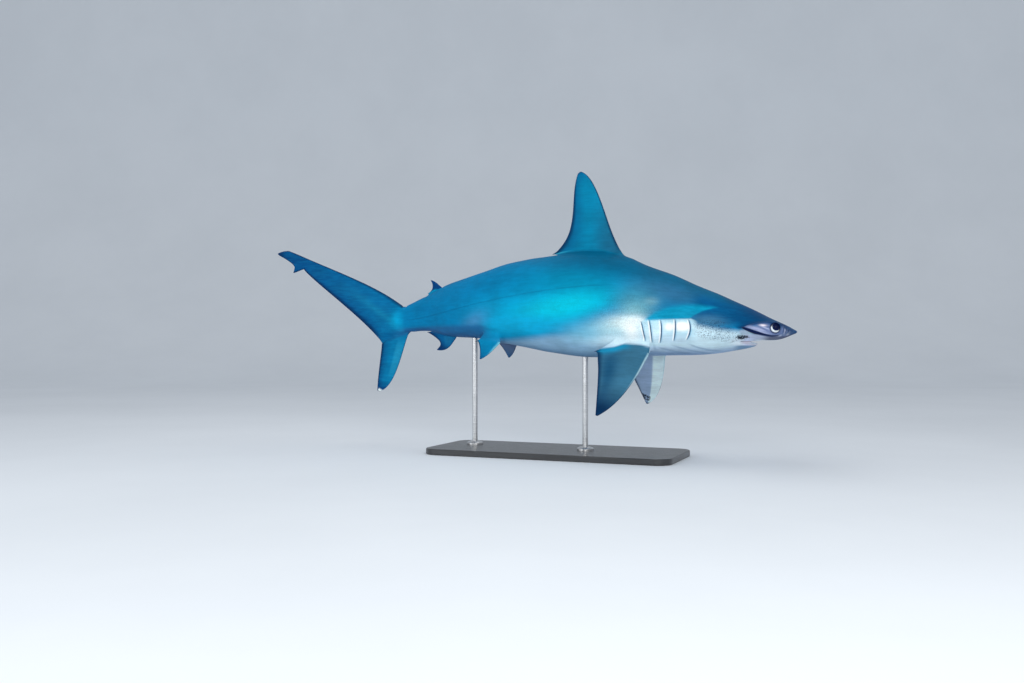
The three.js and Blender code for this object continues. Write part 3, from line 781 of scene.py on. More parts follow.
# Eye sockets: the skin dips behind each eyeball and stands round it as a low lid
EYE_PLACE = np.array([90.0, 302.0, -5.0])
EYE_RADIUS = 19.0
EYE_OPENING = 17.2
LID_AXIS = np.array([0.06, 1.0, -0.1])
LID_STANDS = 4.4
SOCKET_RADIUS = EYE_RADIUS - 2.6
lid_mask = np.zeros(len(s))
for side in (1, -1):
    mirror = np.array([1, side, 1])
    middle, axis = EYE_PLACE * mirror, LID_AXIS * mirror / np.linalg.norm(LID_AXIS)
    off = straight - middle
    depth = off @ axis
    away = off - depth[:, None] * axis
    radius = np.linalg.norm(away, axis=1)
    direction = away / np.maximum(radius, 1e-6)[:, None]
    along_skin = radius + 0.9 * np.maximum(0, 9 - depth)
    close = along_skin < EYE_OPENING + 16
    gap = along_skin - EYE_OPENING
    drawn = drawn_to(gap, 0.8, 4.5)
    hold = fade(gap, 1.5, 14)
    edge = math.sqrt(EYE_RADIUS**2 - EYE_OPENING**2) + LID_STANDS
    lid = edge + 1.5 * np.exp(-(((gap - 2.6) / 2.2) ** 2))
    brow_radius = radius + (np.minimum(EYE_OPENING + drawn, EYE_OPENING + 3.2) - radius) * hold
    angle = np.arctan2(radius, np.maximum(depth, 3))
    inside = gap < 0
    lid_radius = np.maximum(radius + (drawn - gap) * hold, brow_radius)
    new_radius = np.where(inside, SOCKET_RADIUS * np.sin(angle), lid_radius)
    new_depth = np.where(inside, SOCKET_RADIUS * np.cos(angle), depth + (lid - depth) * hold)
    moved = middle + axis * new_depth[:, None] + direction * new_radius[:, None]
    straight[close] = moved[close]
    # The dark rim round each eye also paints the shade on the inner wall of the lid, and it is wider at the
    # top, where it paints the shade under the brow
    brow = np.clip(direction[:, 2], 0, 1) ** 2
    lid_mask = np.maximum(lid_mask, close * np.exp(-(((gap - 0.2) / (2.7 + 3.3 * brow)) ** 4)))

rounded.vertices.foreach_set("co", bend(straight).ravel())
rounded.shade_smooth()
rounded.update()


def tone(red, green, blue):
    """A paint, given as the 0 to 255 values of a screen, in linear light."""
    share = np.array([red, green, blue]) / 255
    return np.where(share <= 0.04045, share / 12.92, ((share + 0.055) / 1.055) ** 2.4)


def band(value, low, high, soft):
    """A mask that is full between two values and fades out softly beyond them."""
    return smooth_step(value, low - soft, low) * fade(value, high, high + soft)


# The paint is laid on in soft washes, from the back and flanks over the belly and the head to the fins
hide = np.tile(tone(0, 114, 166), (len(s), 1))


def wash(paint, mask):
    hide[:] += (tone(*paint) - hide) * np.clip(mask, 0, 1)[:, None]


def line_of(*places):
    """Height of a line along the flank, given by its places (s, z)."""
    return np.interp(s, [p[0] for p in places], [p[1] for p in places])


back_line = line_of((120, 30), (250, 74), (350, 105), (500, 165), (650, 212), (850, 245), (1100, 262))
above_back_line = z - back_line
wash((0, 124, 162), 0.9 * spot(800, 180, 250, 85))
wash((0, 91, 130), smooth_step(above_back_line, -50, 30) * fade(s, 780, 1150))
# Painted light on the mid flank: a broad brighter band, and inside it a painted highlight where the light
# falls fullest
wash((0, 150, 196), 0.9 * spot(960, 70, 300, 78, -0.02, 2.6))
wash((0, 180, 208), 0.95 * spot(835, 84, 185, 52, -0.14, 2.4))
wash((12, 158, 206), 0.8 * spot(1030, 8, 190, 42, 0.0, 3))
wash((3, 98, 152), 0.35 * spot(1550, 84, 95, 12, 0.06))
belly_line = line_of((560, -30), (700, -26), (800, -22), (900, -26), (1000, -36), (1100, -46), (1200, -50))
belly_mask = fade(z - belly_line, -24, 14) * band(s, 600, 1110, 90)
wash((134, 169, 200), 0.95 * belly_mask)
# A painted highlight low on the flank behind the pectoral fin
wash((190, 214, 232), 0.7 * spot(660, -58, 110, 22, 0.06, 3))
# Painted shade: the lowest part of the belly, which faces down, is darker
wash((98, 138, 178), belly_mask * smooth_step(-rise, 0.85, 1.0))
wash((72, 136, 188), 0.75 * spot(1245, 26, 62, 34, -0.35))
wash((30, 98, 150), band(s, 1230, 1700, 70) * fade(z - line_of((1250, 18), (1500, 14), (1700, 8)), -14, 10))
# Painted shade: the underside behind the pelvic fins is darker towards the bottom
wash((30, 86, 138), smooth_step(-rise, 0.7, 0.95) * smooth_step(s, 1180, 1300))

# The haze, and the silvery sheen behind the gills: painted highlights of strong light over the pale skin
# above the pectoral fin
wash((46, 100, 140), 0.85 * spot(455, 128, 125, 42, 0.22, 2.4))
wash((62, 134, 160), 0.7 * spot(560, 98, 72, 54, 0.0, 2.4))
wash((120, 160, 174), 0.5 * spot(506, 96, 26, 16, 0.0, 2.4))
wash((112, 164, 178), 0.8 * spot(556, 62, 56, 38))
wash((120, 182, 208), 0.8 * spot(690, -14, 150, 44, -0.1, 2.6))
# Painted highlights of strong light over the pale skin above the root of the pectoral fin, brightest just
# behind the last gill slit
wash((182, 216, 226), 0.9 * spot(612, -4, 92, 50, 0.0, 2.6))
wash((222, 234, 232), 0.7 * spot(590, 18, 60, 24, 0.0, 2.6))
wash((206, 228, 238), 0.8 * spot(630, -46, 75, 20, 0.0, 2.4))
wash((250, 250, 244), spot(556, -8, 44, 42, 0.0, 2.6))

# Head side, cheek, throat and gills
wash((2, 82, 134), band(s, 150, 330, 60) * smooth_step(z, 0, 30) * fade(above_back_line, -10, 40) * flesh)
wash((62, 110, 144), 0.85 * spot(318, 18, 62, 26, 0.0, 3) * flesh)
leaf_top = line_of((262, 71), (300, 80), (345, 87), (400, 87), (450, 78), (490, 62), (520, 42))
leaf_low = line_of((262, 71), (300, 68), (335, 58), (360, 44), (378, 30), (520, 24))
leaf = smooth_step(z - leaf_low, -2, 5) * fade(z - leaf_top, -16, 3) * band(s, 285, 512, 18)
cheek_line = line_of((176, -9), (205, -9), (250, -5), (300, 2), (350, 14), (372, 26))
cheek = fade(z - cheek_line, -20, 6) * band(s, 175, 600, 25)
wash((196, 221, 233), cheek * fade(s, 520, 600))
gill_top = line_of((350, 22), (372, 31), (505, 32), (520, 30), (538, 20))
gill_pale = fade(z - gill_top, -2.5, 2.5) * smooth_step(z, -76, -20) * smooth_step(s, 345, 376)
gill_pale *= fade(s, 528, 545) * flesh
wash((184, 218, 234), gill_pale)
wash((168, 212, 230), 0.8 * gill_pale * spot(480, 30, 95, 14))
# Painted highlight: the brightest white across the middle of the gills, where the light falls fullest
wash((250, 248, 240), 1.1 * gill_pale * spot(402, 3, 30, 17, 0.0, 4))
wash((248, 250, 246), gill_pale * spot(443, 2, 17, 15, 0.0, 4))
wash((206, 226, 236), 0.8 * gill_pale * spot(500, -30, 40, 26))
wash((206, 228, 240), 0.6 * gill_pale * spot(470, 0, 16, 30, 0.0, 4))
wash((180, 204, 222), 0.8 * spot(430, -44, 60, 18, 0.0, 3) * flesh)
wash((0, 140, 182), 0.95 * leaf)
throat = band(s, 130, 560, 50) * flesh
wash((168, 192, 216), throat * fade(z - line_of((150, -58), (300, -74), (500, -66)), -14, 8))
# Painted shade: the lower throat, which faces down, is darker towards the bottom
wash((132, 162, 202), throat * fade(z - line_of((150, -70), (300, -92), (500, -88)), -10, 8))
wash((214, 226, 236), throat * fade(s, 200, 260) * band(z, -64, -46, 8))
# Each throat fold is painted darker along its crease, a painted shade
for fold, depth in zip(throat_folds, (0.5, 0.4, 0.35)):
    wash((104, 134, 172), depth * fold)

# The hammer: dark above, its ends and underside grey, with painted shade along the lower edge of each end and
# under the front of the hammer
front_of_head = fade(s, 196, 226)
nape = fade(s, 150, 300)
upper_face = smooth_step(outward[:, 2], 0.05, 0.45)
wing = front_of_head * smooth_step(out, 104, 128)
wash((1, 66, 114), nape * upper_face * flesh)
wash((2, 56, 104), wing * upper_face)
wash((196, 206, 232), fade(s, 180, 206) * (1 - upper_face) * fade(z, -30, -22) * smooth_step(out, 40, 80))
wash((184, 198, 220), 0.9 * wing * band(s, 180, 204, 8) * fade(z, -16, -6) * fade(out, 215, 262))
end_face = wing * smooth_step(out, 268, 304)
end_top = 7 + 8 * np.exp(-(((s - 122) / 26) ** 2)) - 7 * np.exp(-(((s - 84) / 18) ** 2))
wash((100, 116, 158), end_face * fade(z - end_top, -16, 3))
wash((168, 174, 208), 0.8 * end_face * spot(152, -8, 36, 5.5, 0.26))
wash((86, 96, 140), 0.75 * end_face * spot(124, -12, 19, 2.8, 0.5))
# A pale line along the top of the dark band, a painted highlight
wash((170, 176, 208), 0.75 * end_face * spot(134, -20, 27, 2.4, 0.27))
wash((66, 78, 120), 0.6 * end_face * spot(117, 0, 13, 2.2, 0.3))
wash((196, 200, 224), 0.6 * end_face * spot(122, -6, 17, 1.8, 0.38))
# A painted highlight on the upper end face behind the eye
wash((236, 224, 230), 0.9 * end_face * spot(132, 3.5, 11, 3.4, 0.08))
before_eye = wing * smooth_step(out, 120, 165) * fade(s, 62, 72) * smooth_step(s, 20, 36)
wash((104, 122, 164), before_eye * fade(z, -16, -2))
wrinkles = (0.5 + 0.5 * np.cos((s - 51 + 0.25 * (z + 12)) * 0.6)) ** 2
wash((34, 56, 100), before_eye * wrinkles * band(z, -18, 6, 8))
# A small painted highlight on the lower front edge before the eye
wash((222, 224, 236), 0.95 * before_eye * spot(39, -24, 8, 4.5, -0.4, 3))
wash((176, 184, 214), 0.8 * before_eye * spot(57, -18, 3.5, 10, 0.0, 3))
band_line = line_of(
    (10, -20), (35, -28), (50, -33), (75, -34), (105, -33), (128, -28), (150, -22), (178, -15), (200, -9),
)
off_band = np.abs(z - band_line) - line_of((50, 2), (105, 2), (128, 2.5), (150, 4.5), (178, 7), (200, 8))
# Painted shade: a dark band along the lower edge of each end of the hammer
wash((10, 26, 68), wing * smooth_step(out, 262, 284) * fade(off_band, -0.5, 2.5) * (outward[:, 2] > -0.97))
below_band = fade(z - band_line, -2, 3) * (1 - upper_face)
# Painted shade under the front of the hammer, below the band
wash((30, 50, 96), 0.9 * fade(s, 98, 138) * below_band * smooth_step(out, 10, 60))
wash((16, 70, 122), front_of_head * at_front * fade(out, 180, 240))

# The fins
outer_face = smooth_step(outward[:, 1] * flank_side + outward[:, 2], -0.25, 0.25)
leading = fade(chord_share, 0.0, 0.12)
tip = fin_share**2
wash((1, 119, 160), first_dorsal)
wash((0, 92, 140), first_dorsal * smooth_step(fin_share, 0.75, 1.0))
wash((20, 94, 130), first_dorsal * fade(chord_share, 0.1, 0.5) * fade(fin_share, 0.1, 0.7))
wash((1, 96, 142), first_dorsal * smooth_step(chord_share, 0.45, 0.95))
# A painted highlight at the rear of the fin's base, where the light catches it
wash((60, 186, 214), first_dorsal * smooth_step(chord_share, 0.66, 0.9) * fade(fin_share, 0.02, 0.13))
wash((2, 60, 118), second_dorsal)
wash((0, 150, 196), second_dorsal * fade(fin_share, 0.05, 0.3) * smooth_step(chord_share, 0.2, 0.5))
wash((1, 88, 142), anal)
# A faint painted highlight near the front of the fin's root
wash((30, 116, 160), 0.5 * anal * band(chord_share, 0.12, 0.3, 0.12) * (1 - fin_share))
wash((1, 48, 98), anal * np.maximum(smooth_step(fin_share, 0.3, 0.8), smooth_step(chord_share, 0.45, 0.9)))
wash((0, 128, 178), pelvic * outer_face)
wash((92, 112, 146), pelvic * (1 - outer_face))
# A painted highlight along the rounded leading edge of the outer face
wash((130, 210, 226), 0.85 * pelvic * outer_face * leading * fade(fin_share, 0.4, 0.8))
wash((6, 76, 126), pelvic * tip)
root_line = line_of((500, -78), (520, -70), (542, -64), (600, -61), (640, -73), (700, -80))
rooted = (pectoral > 0) * smooth_step(fin_share, 0.004, 0.03) * smooth_step(root_line - z, -5, 4)
pectoral_top, pectoral_under = rooted * outer_face, rooted * (1 - outer_face)
wash((54, 104, 134), pectoral_top)
# A painted shade in the middle of the fin, towards its rear
painted_fin_shade = np.exp(-(((chord_share - 0.68) / 0.24) ** 2) - ((fin_share - 0.4) / 0.3) ** 2)
wash((24, 76, 112), pectoral_top * painted_fin_shade)
# Painted light on the root of the fin, fading outward from it
wash((20, 132, 176), 0.9 * pectoral_top * fade(root_line - z, 6, 30) * smooth_step(s, 560, 610))
wash((2, 42, 80), pectoral_top * smooth_step(fin_share, 0.5, 0.9))
wash((224, 246, 252), pectoral_under)
wash((152, 176, 212), 0.95 * pectoral_under * smooth_step(chord_share - 0.22 - 0.2 * fin_share, -0.02, 0.03))
wash((60, 88, 124), pectoral_under * smooth_step(fin_share, 0.9, 0.98))
wash((2, 99, 152), caudal * smooth_step(s, 1690, 1800))
# A painted highlight at the root of the upper lobe
wash((0, 156, 208), caudal * spot(1742, 40, 40, 34))
past_fork = smooth_step(s, 1815, 1890)
wash((1, 76, 134), caudal * smooth_step(chord_share, 0.62, 0.98) * past_fork)
# Painted shade where the upper lobe of the tail meets the lower one
wash((0, 84, 138), 0.6 * caudal * spot(1800, -30, 50, 26, -0.3))
# A painted highlight, a streak running up and back from the root
wash((20, 132, 172), 0.45 * caudal * spot(1860, 92, 120, 20, 0.62))
wash((1, 66, 122), caudal * smooth_step(fin_share, 0.6, 0.95))
wash((0, 110, 160), lobe)
# A painted highlight along the front of the lower lobe
wash((30, 140, 184), 0.7 * lobe * band(chord_share, 0.1, 0.26, 0.16) * band(fin_share, 0.3, 0.5, 0.26))
wash((1, 80, 132), lobe * smooth_step(chord_share, 0.45, 0.95))
wash((0, 63, 118), lobe * smooth_step(fin_share, 0.7, 0.9))
wash((236, 246, 244), lobe * smooth_step(fin_share, 0.9, 0.95) * fade(chord_share, 0.5, 0.8))
wash((150, 134, 154), in_mouth)
wash((226, 216, 226), in_mouth * smooth_step(-z, 51, 53))
wash((200, 214, 228), fade(s, 150, 190) * band(-z, 55, 60, 4) * fade(outward[:, 2], 0.1, 0.5))
# Painted shade under the front of the jaw, where the skin faces down
wash((112, 144, 180), fade(s, 200, 240) * smooth_step(-z, 62, 70) * smooth_step(-outward[:, 2], 0.2, 0.7))

# The deep tones lean a little to green
depth_of_tone = 1 - hide.min(axis=1) / hide.max(axis=1)
hide *= 1 + depth_of_tone[:, None] * np.array([0, 0.04, -0.02])

# Where the finer marks lie: the scars, the dark edges of the fins and the lateral line
mouth_scars = np.maximum.reduce([
    spot(198, -36, 36, 10, 0.0, 4),
    0.86 * spot(160, -54, 16, 2.6, 0.2, 3),
    0.8 * spot(233, -53, 11, 4, 0.0, 4),
])
fin_scars = 0.87 * pectoral_under * band(fin_share, 0.81, 0.89, 0.06) * smooth_step(chord_share, 0.1, 0.35)
rear_edge = smooth_step(chord_share, 0.84, 0.97) * (1 - caudal * (1 - past_fork))
tip_edge = smooth_step(fin_share, 0.94, 1.0)
front_edge = fade(chord_share, 0.0, 0.03 + 0.06 * caudal + 0.035 * first_dorsal)
front_edge *= smooth_step(fin_share, 0.05, 0.2) * (1 - pectoral * fade(fin_share, 0.35, 0.6))
LATERAL_PLACES = [(330, 128), (547, 157), (780, 156), (982, 139), (1190, 106), (1440, 67), (1690, 40)]
LATERAL_BENDS = 4
lateral_line = np.polyval(np.polyfit(*zip(*LATERAL_PLACES), LATERAL_BENDS), s)
throat_streaks = 0.35 * spot(250, 40, 80, 34, 0.0, 4) * flesh
HIDE_MASKS = {
    "gill_gap": np.clip(gill_gap, -30, 30),
    "gill_run": gill_run,
    "freckled": np.maximum(spot(296, 3, 62, 22, 0.06, 3), 0.7 * spot(275, -28, 85, 24, 0.1, 3)) * (out > 60),
    "scarred": np.maximum.reduce([mouth_scars * (out > 60), fin_scars]),
    "dappled": spot(590, 40, 130, 90, 0.0, 3) + 0.5 * spot(860, 90, 150, 50),
    "streaked": np.maximum.reduce([leaf, throat_streaks, 0.4 * (caudal + lobe)]),
    # The eyes' dark rims, with painted shade inside the lids and under the brows, and painted shade in the
    # nostrils and their grooves
    "dark_rims_and_shade": np.maximum.reduce([lid_mask, nostril, 0.4 * nose_groove]),
    "fin_edge": any_fin * np.maximum.reduce([rear_edge, tip_edge, front_edge]),
    "lateral_gap": z - lateral_line,
    "lateral_run": band(s, 730, 1600, 130) * (flesh > 0.5),
}
for name, values in HIDE_MASKS.items():
    store(rounded, name, values)
store(rounded, "hide_tone", np.concatenate([hide, np.ones((len(s), 1))], 1), "FLOAT_COLOR", "color")
store(rounded, "hide_place", np.stack([s, straight[:, 1], z], 1) * MM, "FLOAT_VECTOR", "vector")


def node(tree, kind, inputs=None, **settings):
    """Adds a shader node; each input is given as a number, a colour, or another node's output."""
    made = tree.nodes.new("ShaderNode" + kind)
    for name, value in settings.items():
        setattr(made, name, value)
    for name, value in (inputs or {}).items():
        if isinstance(value, bpy.types.NodeSocket):
            tree.links.new(value, made.inputs[name])
        else:
            made.inputs[name].default_value = value
    return made


def new_material(name):
    made = bpy.data.materials.new(name)
    made.use_nodes = True
    return made, made.node_tree, made.node_tree.nodes["Principled BSDF"]


def mixed(tree, share, first, second, blend="MIX"):
    made = node(tree, "Mix", {"Factor": share}, data_type="RGBA", blend_type=blend)
    for socket, value in ((made.inputs[6], first), (made.inputs[7], second)):
        if isinstance(value, bpy.types.NodeSocket):
            tree.links.new(value, socket)
        else:
            socket.default_value = (*value, 1) if len(value) == 3 else value
    return made.outputs[2]


def steps(tree, value, low, high, start=0.0, end=1.0):
    return node(
        tree, "MapRange", {"Value": value, "From Min": low, "From Max": high, "To Min": start, "To Max": end},
        interpolation_type="SMOOTHSTEP",
    ).outputs[0]


def sum_of(tree, made, *parts):
    """The first value with a share of each further one added."""
    for value, share in parts:
        made = node(tree, "Math", {0: value, 1: share, 2: made}, operation="MULTIPLY_ADD").outputs[0]
    return made


def product(tree, made, *factors):
    for factor in factors:
        made = node(tree, "Math", {0: made, 1: factor}, operation="MULTIPLY").outputs[0]
    return made


def centred(tree, value):
    """A value of 0 to 1 moved to lie about zero."""
    return sum_of(tree, -0.5, (value, 1.0))


def scaled(tree, vector, scale):
    return node(tree, "VectorMath", {0: vector, 1: scale}, operation="MULTIPLY").outputs[0]


def painted(tree, colour, paint, strength, *masks):
    """Lays a paint over a colour where all its masks are full."""
    return mixed(tree, product(tree, *masks, strength), colour, tone(*paint))


def set_surface(tree, shader, colour, roughness, height=None, strength=0.0, distance=0.0):
    """Gives a surface its colour and roughness, and its relief where it has one."""
    tree.links.new(colour, shader.inputs["Base Color"])
    tree.links.new(roughness, shader.inputs["Roughness"])
    if height is not None:
        bump = node(tree, "Bump", {"Height": height, "Strength": strength, "Distance": distance})
        tree.links.new(bump.outputs[0], shader.inputs["Normal"])


# Unevenness that every finish here shows: cloudy patches, and a fine grain over them
uneven = bpy.data.node_groups.new("unevenness", "ShaderNodeTree")
for name, kind in (("Place", "Vector"), ("Cloud Scale", "Float"), ("Grain Scale", "Float")):
    uneven.interface.new_socket(name, in_out="INPUT", socket_type="NodeSocket" + kind)
for name in ("Cloud", "Grain"):
    uneven.interface.new_socket(name, in_out="OUTPUT", socket_type="NodeSocketFloat")
group_in, group_out = uneven.nodes.new("NodeGroupInput"), uneven.nodes.new("NodeGroupOutput")
for name, detail in (("Cloud", 4.0), ("Grain", 2.0)):
    noise = {"Vector": group_in.outputs["Place"], "Scale": group_in.outputs[name + " Scale"]}
    cloud = node(uneven, "TexNoise", {**noise, "Detail": detail, "Roughness": 0.6})
    uneven.links.new(steps(uneven, cloud.outputs[0], 0.25, 0.75), group_out.inputs[name])


def unevenness(tree, place, cloud_scale, grain_scale):
    made = tree.nodes.new("ShaderNodeGroup")
    made.node_tree = uneven
    tree.links.new(place, made.inputs["Place"])
    made.inputs["Cloud Scale"].default_value = cloud_scale
    made.inputs["Grain Scale"].default_value = grain_scale
    return made.outputs["Cloud"], made.outputs["Grain"]


hide_paint, tree, shader = new_material("shark_hide")


def mask_of(name):
    return node(tree, "Attribute", attribute_name=name).outputs["Fac"]


place = node(tree, "Attribute", attribute_name="hide_place").outputs["Vector"]
cloud, grain = unevenness(tree, place, 11, 420)
streak, blotch = unevenness(tree, scaled(tree, place, (0.14, 1.0, 1.0)), 34, 120)
fleck, speck = unevenness(tree, place, 75, 210)
colour = node(tree, "Attribute", attribute_name="hide_tone").outputs["Color"]
shade = sum_of(tree, 0.80, (cloud, 0.20), (streak, 0.12), (grain, 0.08), (centred(tree, blotch), 0.12))
shade = sum_of(tree, shade, (product(tree, mask_of("dappled"), centred(tree, speck)), 0.3))
grey = node(tree, "CombineColor", {0: shade, 1: shade, 2: shade}).outputs[0]
colour = mixed(tree, 1.0, colour, grey, "MULTIPLY")
colour = painted(tree, colour, (30, 176, 210), 0.16, steps(tree, blotch, 0.2, 1.0), mask_of("streaked"))

# Freckles on the cheek: specks of uneven outline, thickest in the middle of their patch, over a soft mottling
ragged = node(tree, "TexNoise", {"Vector": place, "Scale": 420.0, "Detail": 1.5}).outputs["Color"]
ragged = scaled(tree, ragged, (0.0034, 0.0034, 0.0034))
ragged = node(tree, "VectorMath", {0: ragged, 1: place}, operation="ADD").outputs[0]
dots = node(tree, "TexVoronoi", {"Vector": ragged, "Scale": 330.0, "Randomness": 1.0})
chosen, reach = node(tree, "SeparateColor", {0: dots.outputs["Color"]}).outputs[:2]
freckled = mask_of("freckled")
within = steps(tree, sum_of(tree, dots.outputs["Distance"], (reach, -0.3)), 0.12, 0.34, 1.0, 0.0)
present = steps(tree, sum_of(tree, chosen, (fleck, 0.4), (freckled, 0.75)), 0.8, 0.95)
colour = painted(tree, colour, (58, 102, 140), 0.5, freckled, steps(tree, speck, 0.45, 0.95))
colour = painted(tree, colour, (26, 54, 86), 0.78, within, present, steps(tree, freckled, 0.08, 0.5))

# Scars, the gill slits, the lateral line and the edges of the fins
scratch = node(tree, "TexNoise", {"Vector": place, "Scale": 190.0, "Detail": 1.5, "Roughness": 0.6})
scratched = sum_of(tree, 0.2, (scratch.outputs[0], 1.1))
scar = steps(tree, product(tree, mask_of("scarred"), scratched), 0.58, 0.67)
colour = painted(tree, colour, (8, 15, 38), 0.97, scar)
gap, run = mask_of("gill_gap"), mask_of("gill_run")
# Each gill slit: a soft painted shade on its headward side, a painted highlight on the lit skin just behind
# it, and a dark line, the painted shadow under the edge of the flap
for limits, paint, strength in (
    ((-9.0, -1.0, 0.0, 1.0), (88, 160, 200), 0.6),
    ((1.6, 2.8, 5.2, 7.4), (252, 254, 252), 0.85),
    ((-3.2, -1.5, 1.1, 2.6), (8, 56, 98), 0.92),
):
    begun, not_over = steps(tree, gap, *limits[:2]), steps(tree, gap, *limits[2:], 1.0, 0.0)
    colour = painted(tree, colour, paint, strength, begun, not_over, run)
off_line = node(tree, "Math", {0: mask_of("lateral_gap")}, operation="ABSOLUTE").outputs[0]
lateral = product(tree, steps(tree, off_line, 0.5, 5.0, 1.0, 0.0), mask_of("lateral_run"))
colour = painted(tree, colour, (0, 60, 100), 0.2, lateral)
chord, share = mask_of("chord_share"), mask_of("fin_share")
# A pale line along the pectoral fin's rounded leading edge, a painted highlight
lit_leading_edge = product(
    tree, steps(tree, chord, 0.018, 0.034, 1.0, 0.0), mask_of("is_pectoral"),
    steps(tree, share, 0.25, 0.65, 1.0, 0.0), steps(tree, share, 0.0, 0.12),
)
colour = painted(tree, colour, (176, 210, 220), 0.7, lit_leading_edge)
colour = painted(tree, colour, (3, 34, 72), 0.82, mask_of("fin_edge"))
# Dark rims round the eyes, and painted shade in the sockets, the nostrils and the nose grooves
colour = painted(tree, colour, (16, 32, 70), 0.9, mask_of("dark_rims_and_shade"))

# The relief is the grain of the scales, with fine rays along the fins and the lateral line's groove
RAYS_PER_CHORD = 46.0
across_rays = node(tree, "CombineXYZ", {0: product(tree, chord, RAYS_PER_CHORD), 1: share}).outputs[0]
rays = node(tree, "TexNoise", {"Vector": across_rays, "Scale": 1.0, "Detail": 1.0}).outputs[0]
on_fins = product(tree, rays, steps(tree, share, 0.05, 0.3))
height = sum_of(tree, product(tree, grain, 0.12), (fleck, 0.10), (on_fins, 0.35), (lateral, -0.8))
set_surface(tree, shader, colour, sum_of(tree, 0.42, (cloud, 0.14)), height, 0.6, 0.0012)
shader.inputs["Specular IOR Level"].default_value = 0.04
rounded.materials.clear()
rounded.materials.append(hide_paint)

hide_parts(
    "cephalofoil", "lower_jaw", "head", "gill_region", "trunk_front", "trunk_rear", "tail_stalk",
    "dorsal_fin_first", "dorsal_fin_second", "anal_fin", "pectoral_fin_right", "pectoral_fin_left",
    "pelvic_fin_right", "pelvic_fin_left", "caudal_fin_upper", "caudal_fin_lower",
)
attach(skin, "root")

# The eyes are glossy balls, one deep in each end of the hammer, dark with a pale ring round the iris.
# Each is set in its socket from behind the lids, and looks outward and a little forward and up.
PUPIL_AXIS = (-0.16, 1.0, 0.2)
CORNEA_RISE = 0.8
EYE_RINGS, EYE_SPOKES = 72, 96
eye_glass, tree, shader = new_material("eye_glass")
ring_share = node(tree, "Attribute", attribute_name="from_pupil").outputs["Fac"]
eye_place = node(tree, "Attribute", attribute_name="eye_place").outputs["Vector"]
cloud, grain = unevenness(tree, eye_place, 260, 900)
wavy_share = sum_of(tree, ring_share, (centred(tree, cloud), 0.008))
iris = node(tree, "ValToRGB", {"Fac": wavy_share})
EYE_TONES = [
    (0.0, (2, 8, 46)), (0.4, (2, 9, 48)), (0.5, (5, 20, 66)), (0.62, (3, 14, 54)),
    (0.67, (30, 58, 96)), (0.71, (240, 246, 248)), (0.9, (226, 234, 240)), (1.0, (120, 138, 160)),
]
while len(iris.color_ramp.elements) < len(EYE_TONES):
    iris.color_ramp.elements.new(0.5)
for element, (at, paint) in zip(iris.color_ramp.elements, EYE_TONES):
    element.position, element.color = at, (*tone(*paint), 1)
lid_shadow = node(tree, "Attribute", attribute_name="lid_shadow").outputs["Fac"]
colour = painted(tree, iris.outputs[0], (110, 140, 170), 0.03, grain)
colour = painted(tree, colour, (4, 14, 50), 0.93, lid_shadow)
set_surface(tree, shader, colour, sum_of(tree, 0.22, (cloud, 0.06)))
shader.inputs["Specular IOR Level"].default_value = 0.06
for side, name in ((1, "eye_right"), (-1, "eye_left")):
    axis = np.array(PUPIL_AXIS) / np.linalg.norm(PUPIL_AXIS)
    across_eye = np.cross(axis, [0, 0, 1])
    across_eye /= np.linalg.norm(across_eye)
    up_eye = np.cross(across_eye, axis)
    points, shares, shadows, faces = [], [], [], []
    for ring in range(EYE_RINGS + 1):
        angle = math.pi * (ring / EYE_RINGS) ** 1.2
        radius = EYE_RADIUS + CORNEA_RISE * float(fade(angle, 0.3, 0.85))
        for spoke in range(EYE_SPOKES if 0 < ring < EYE_RINGS else 1):
            turn = 2 * math.pi * spoke / EYE_SPOKES
            sideward = across_eye * math.cos(turn) + up_eye * math.sin(turn)
            points.append(EYE_PLACE + (axis * math.cos(angle) + sideward * math.sin(angle)) * radius)
            off = points[-1] - EYE_PLACE
            off = off - LID_AXIS * (off @ LID_AXIS) / (LID_AXIS @ LID_AXIS)
            reach = max(np.linalg.norm(off), 1e-6)
            under_lid = smooth_step((0.87 * off[2] - 0.5 * off[0]) / reach, -0.35, 0.2)
            shadows.append(float(smooth_step(reach, 9, 15) * under_lid))
            shares.append(math.sin(angle) if angle < math.pi / 2 else 1.0)
    for ring in range(EYE_RINGS):
        first = 1 + (ring - 1) * EYE_SPOKES
        outer = first + EYE_SPOKES
        for spoke in range(EYE_SPOKES):
            after = (spoke + 1) % EYE_SPOKES
            if ring == 0:
                faces.append((0, 1 + spoke, 1 + after))
            elif ring == EYE_RINGS - 1:
                faces.append((first + spoke, len(points) - 1, first + after))
            else:
                faces.append((first + spoke, outer + spoke, outer + after, first + after))
    points = np.array(points) * np.array([1, side, 1])
    if side > 0:
        faces = [face[::-1] for face in faces]
    eye_mesh = bpy.data.meshes.new(name + "_ball")
    eye_mesh.from_pydata([tuple(p) for p in bend(points)], [], faces)
    store(eye_mesh, "from_pupil", shares)
    store(eye_mesh, "lid_shadow", shadows)
    store(eye_mesh, "eye_place", points * MM, "FLOAT_VECTOR", "vector")
    eye_mesh.shade_smooth()
    eye_mesh.materials.append(eye_glass)
    ball = show(name + "_ball", eye_mesh)
    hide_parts(name)
    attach(ball, "root")

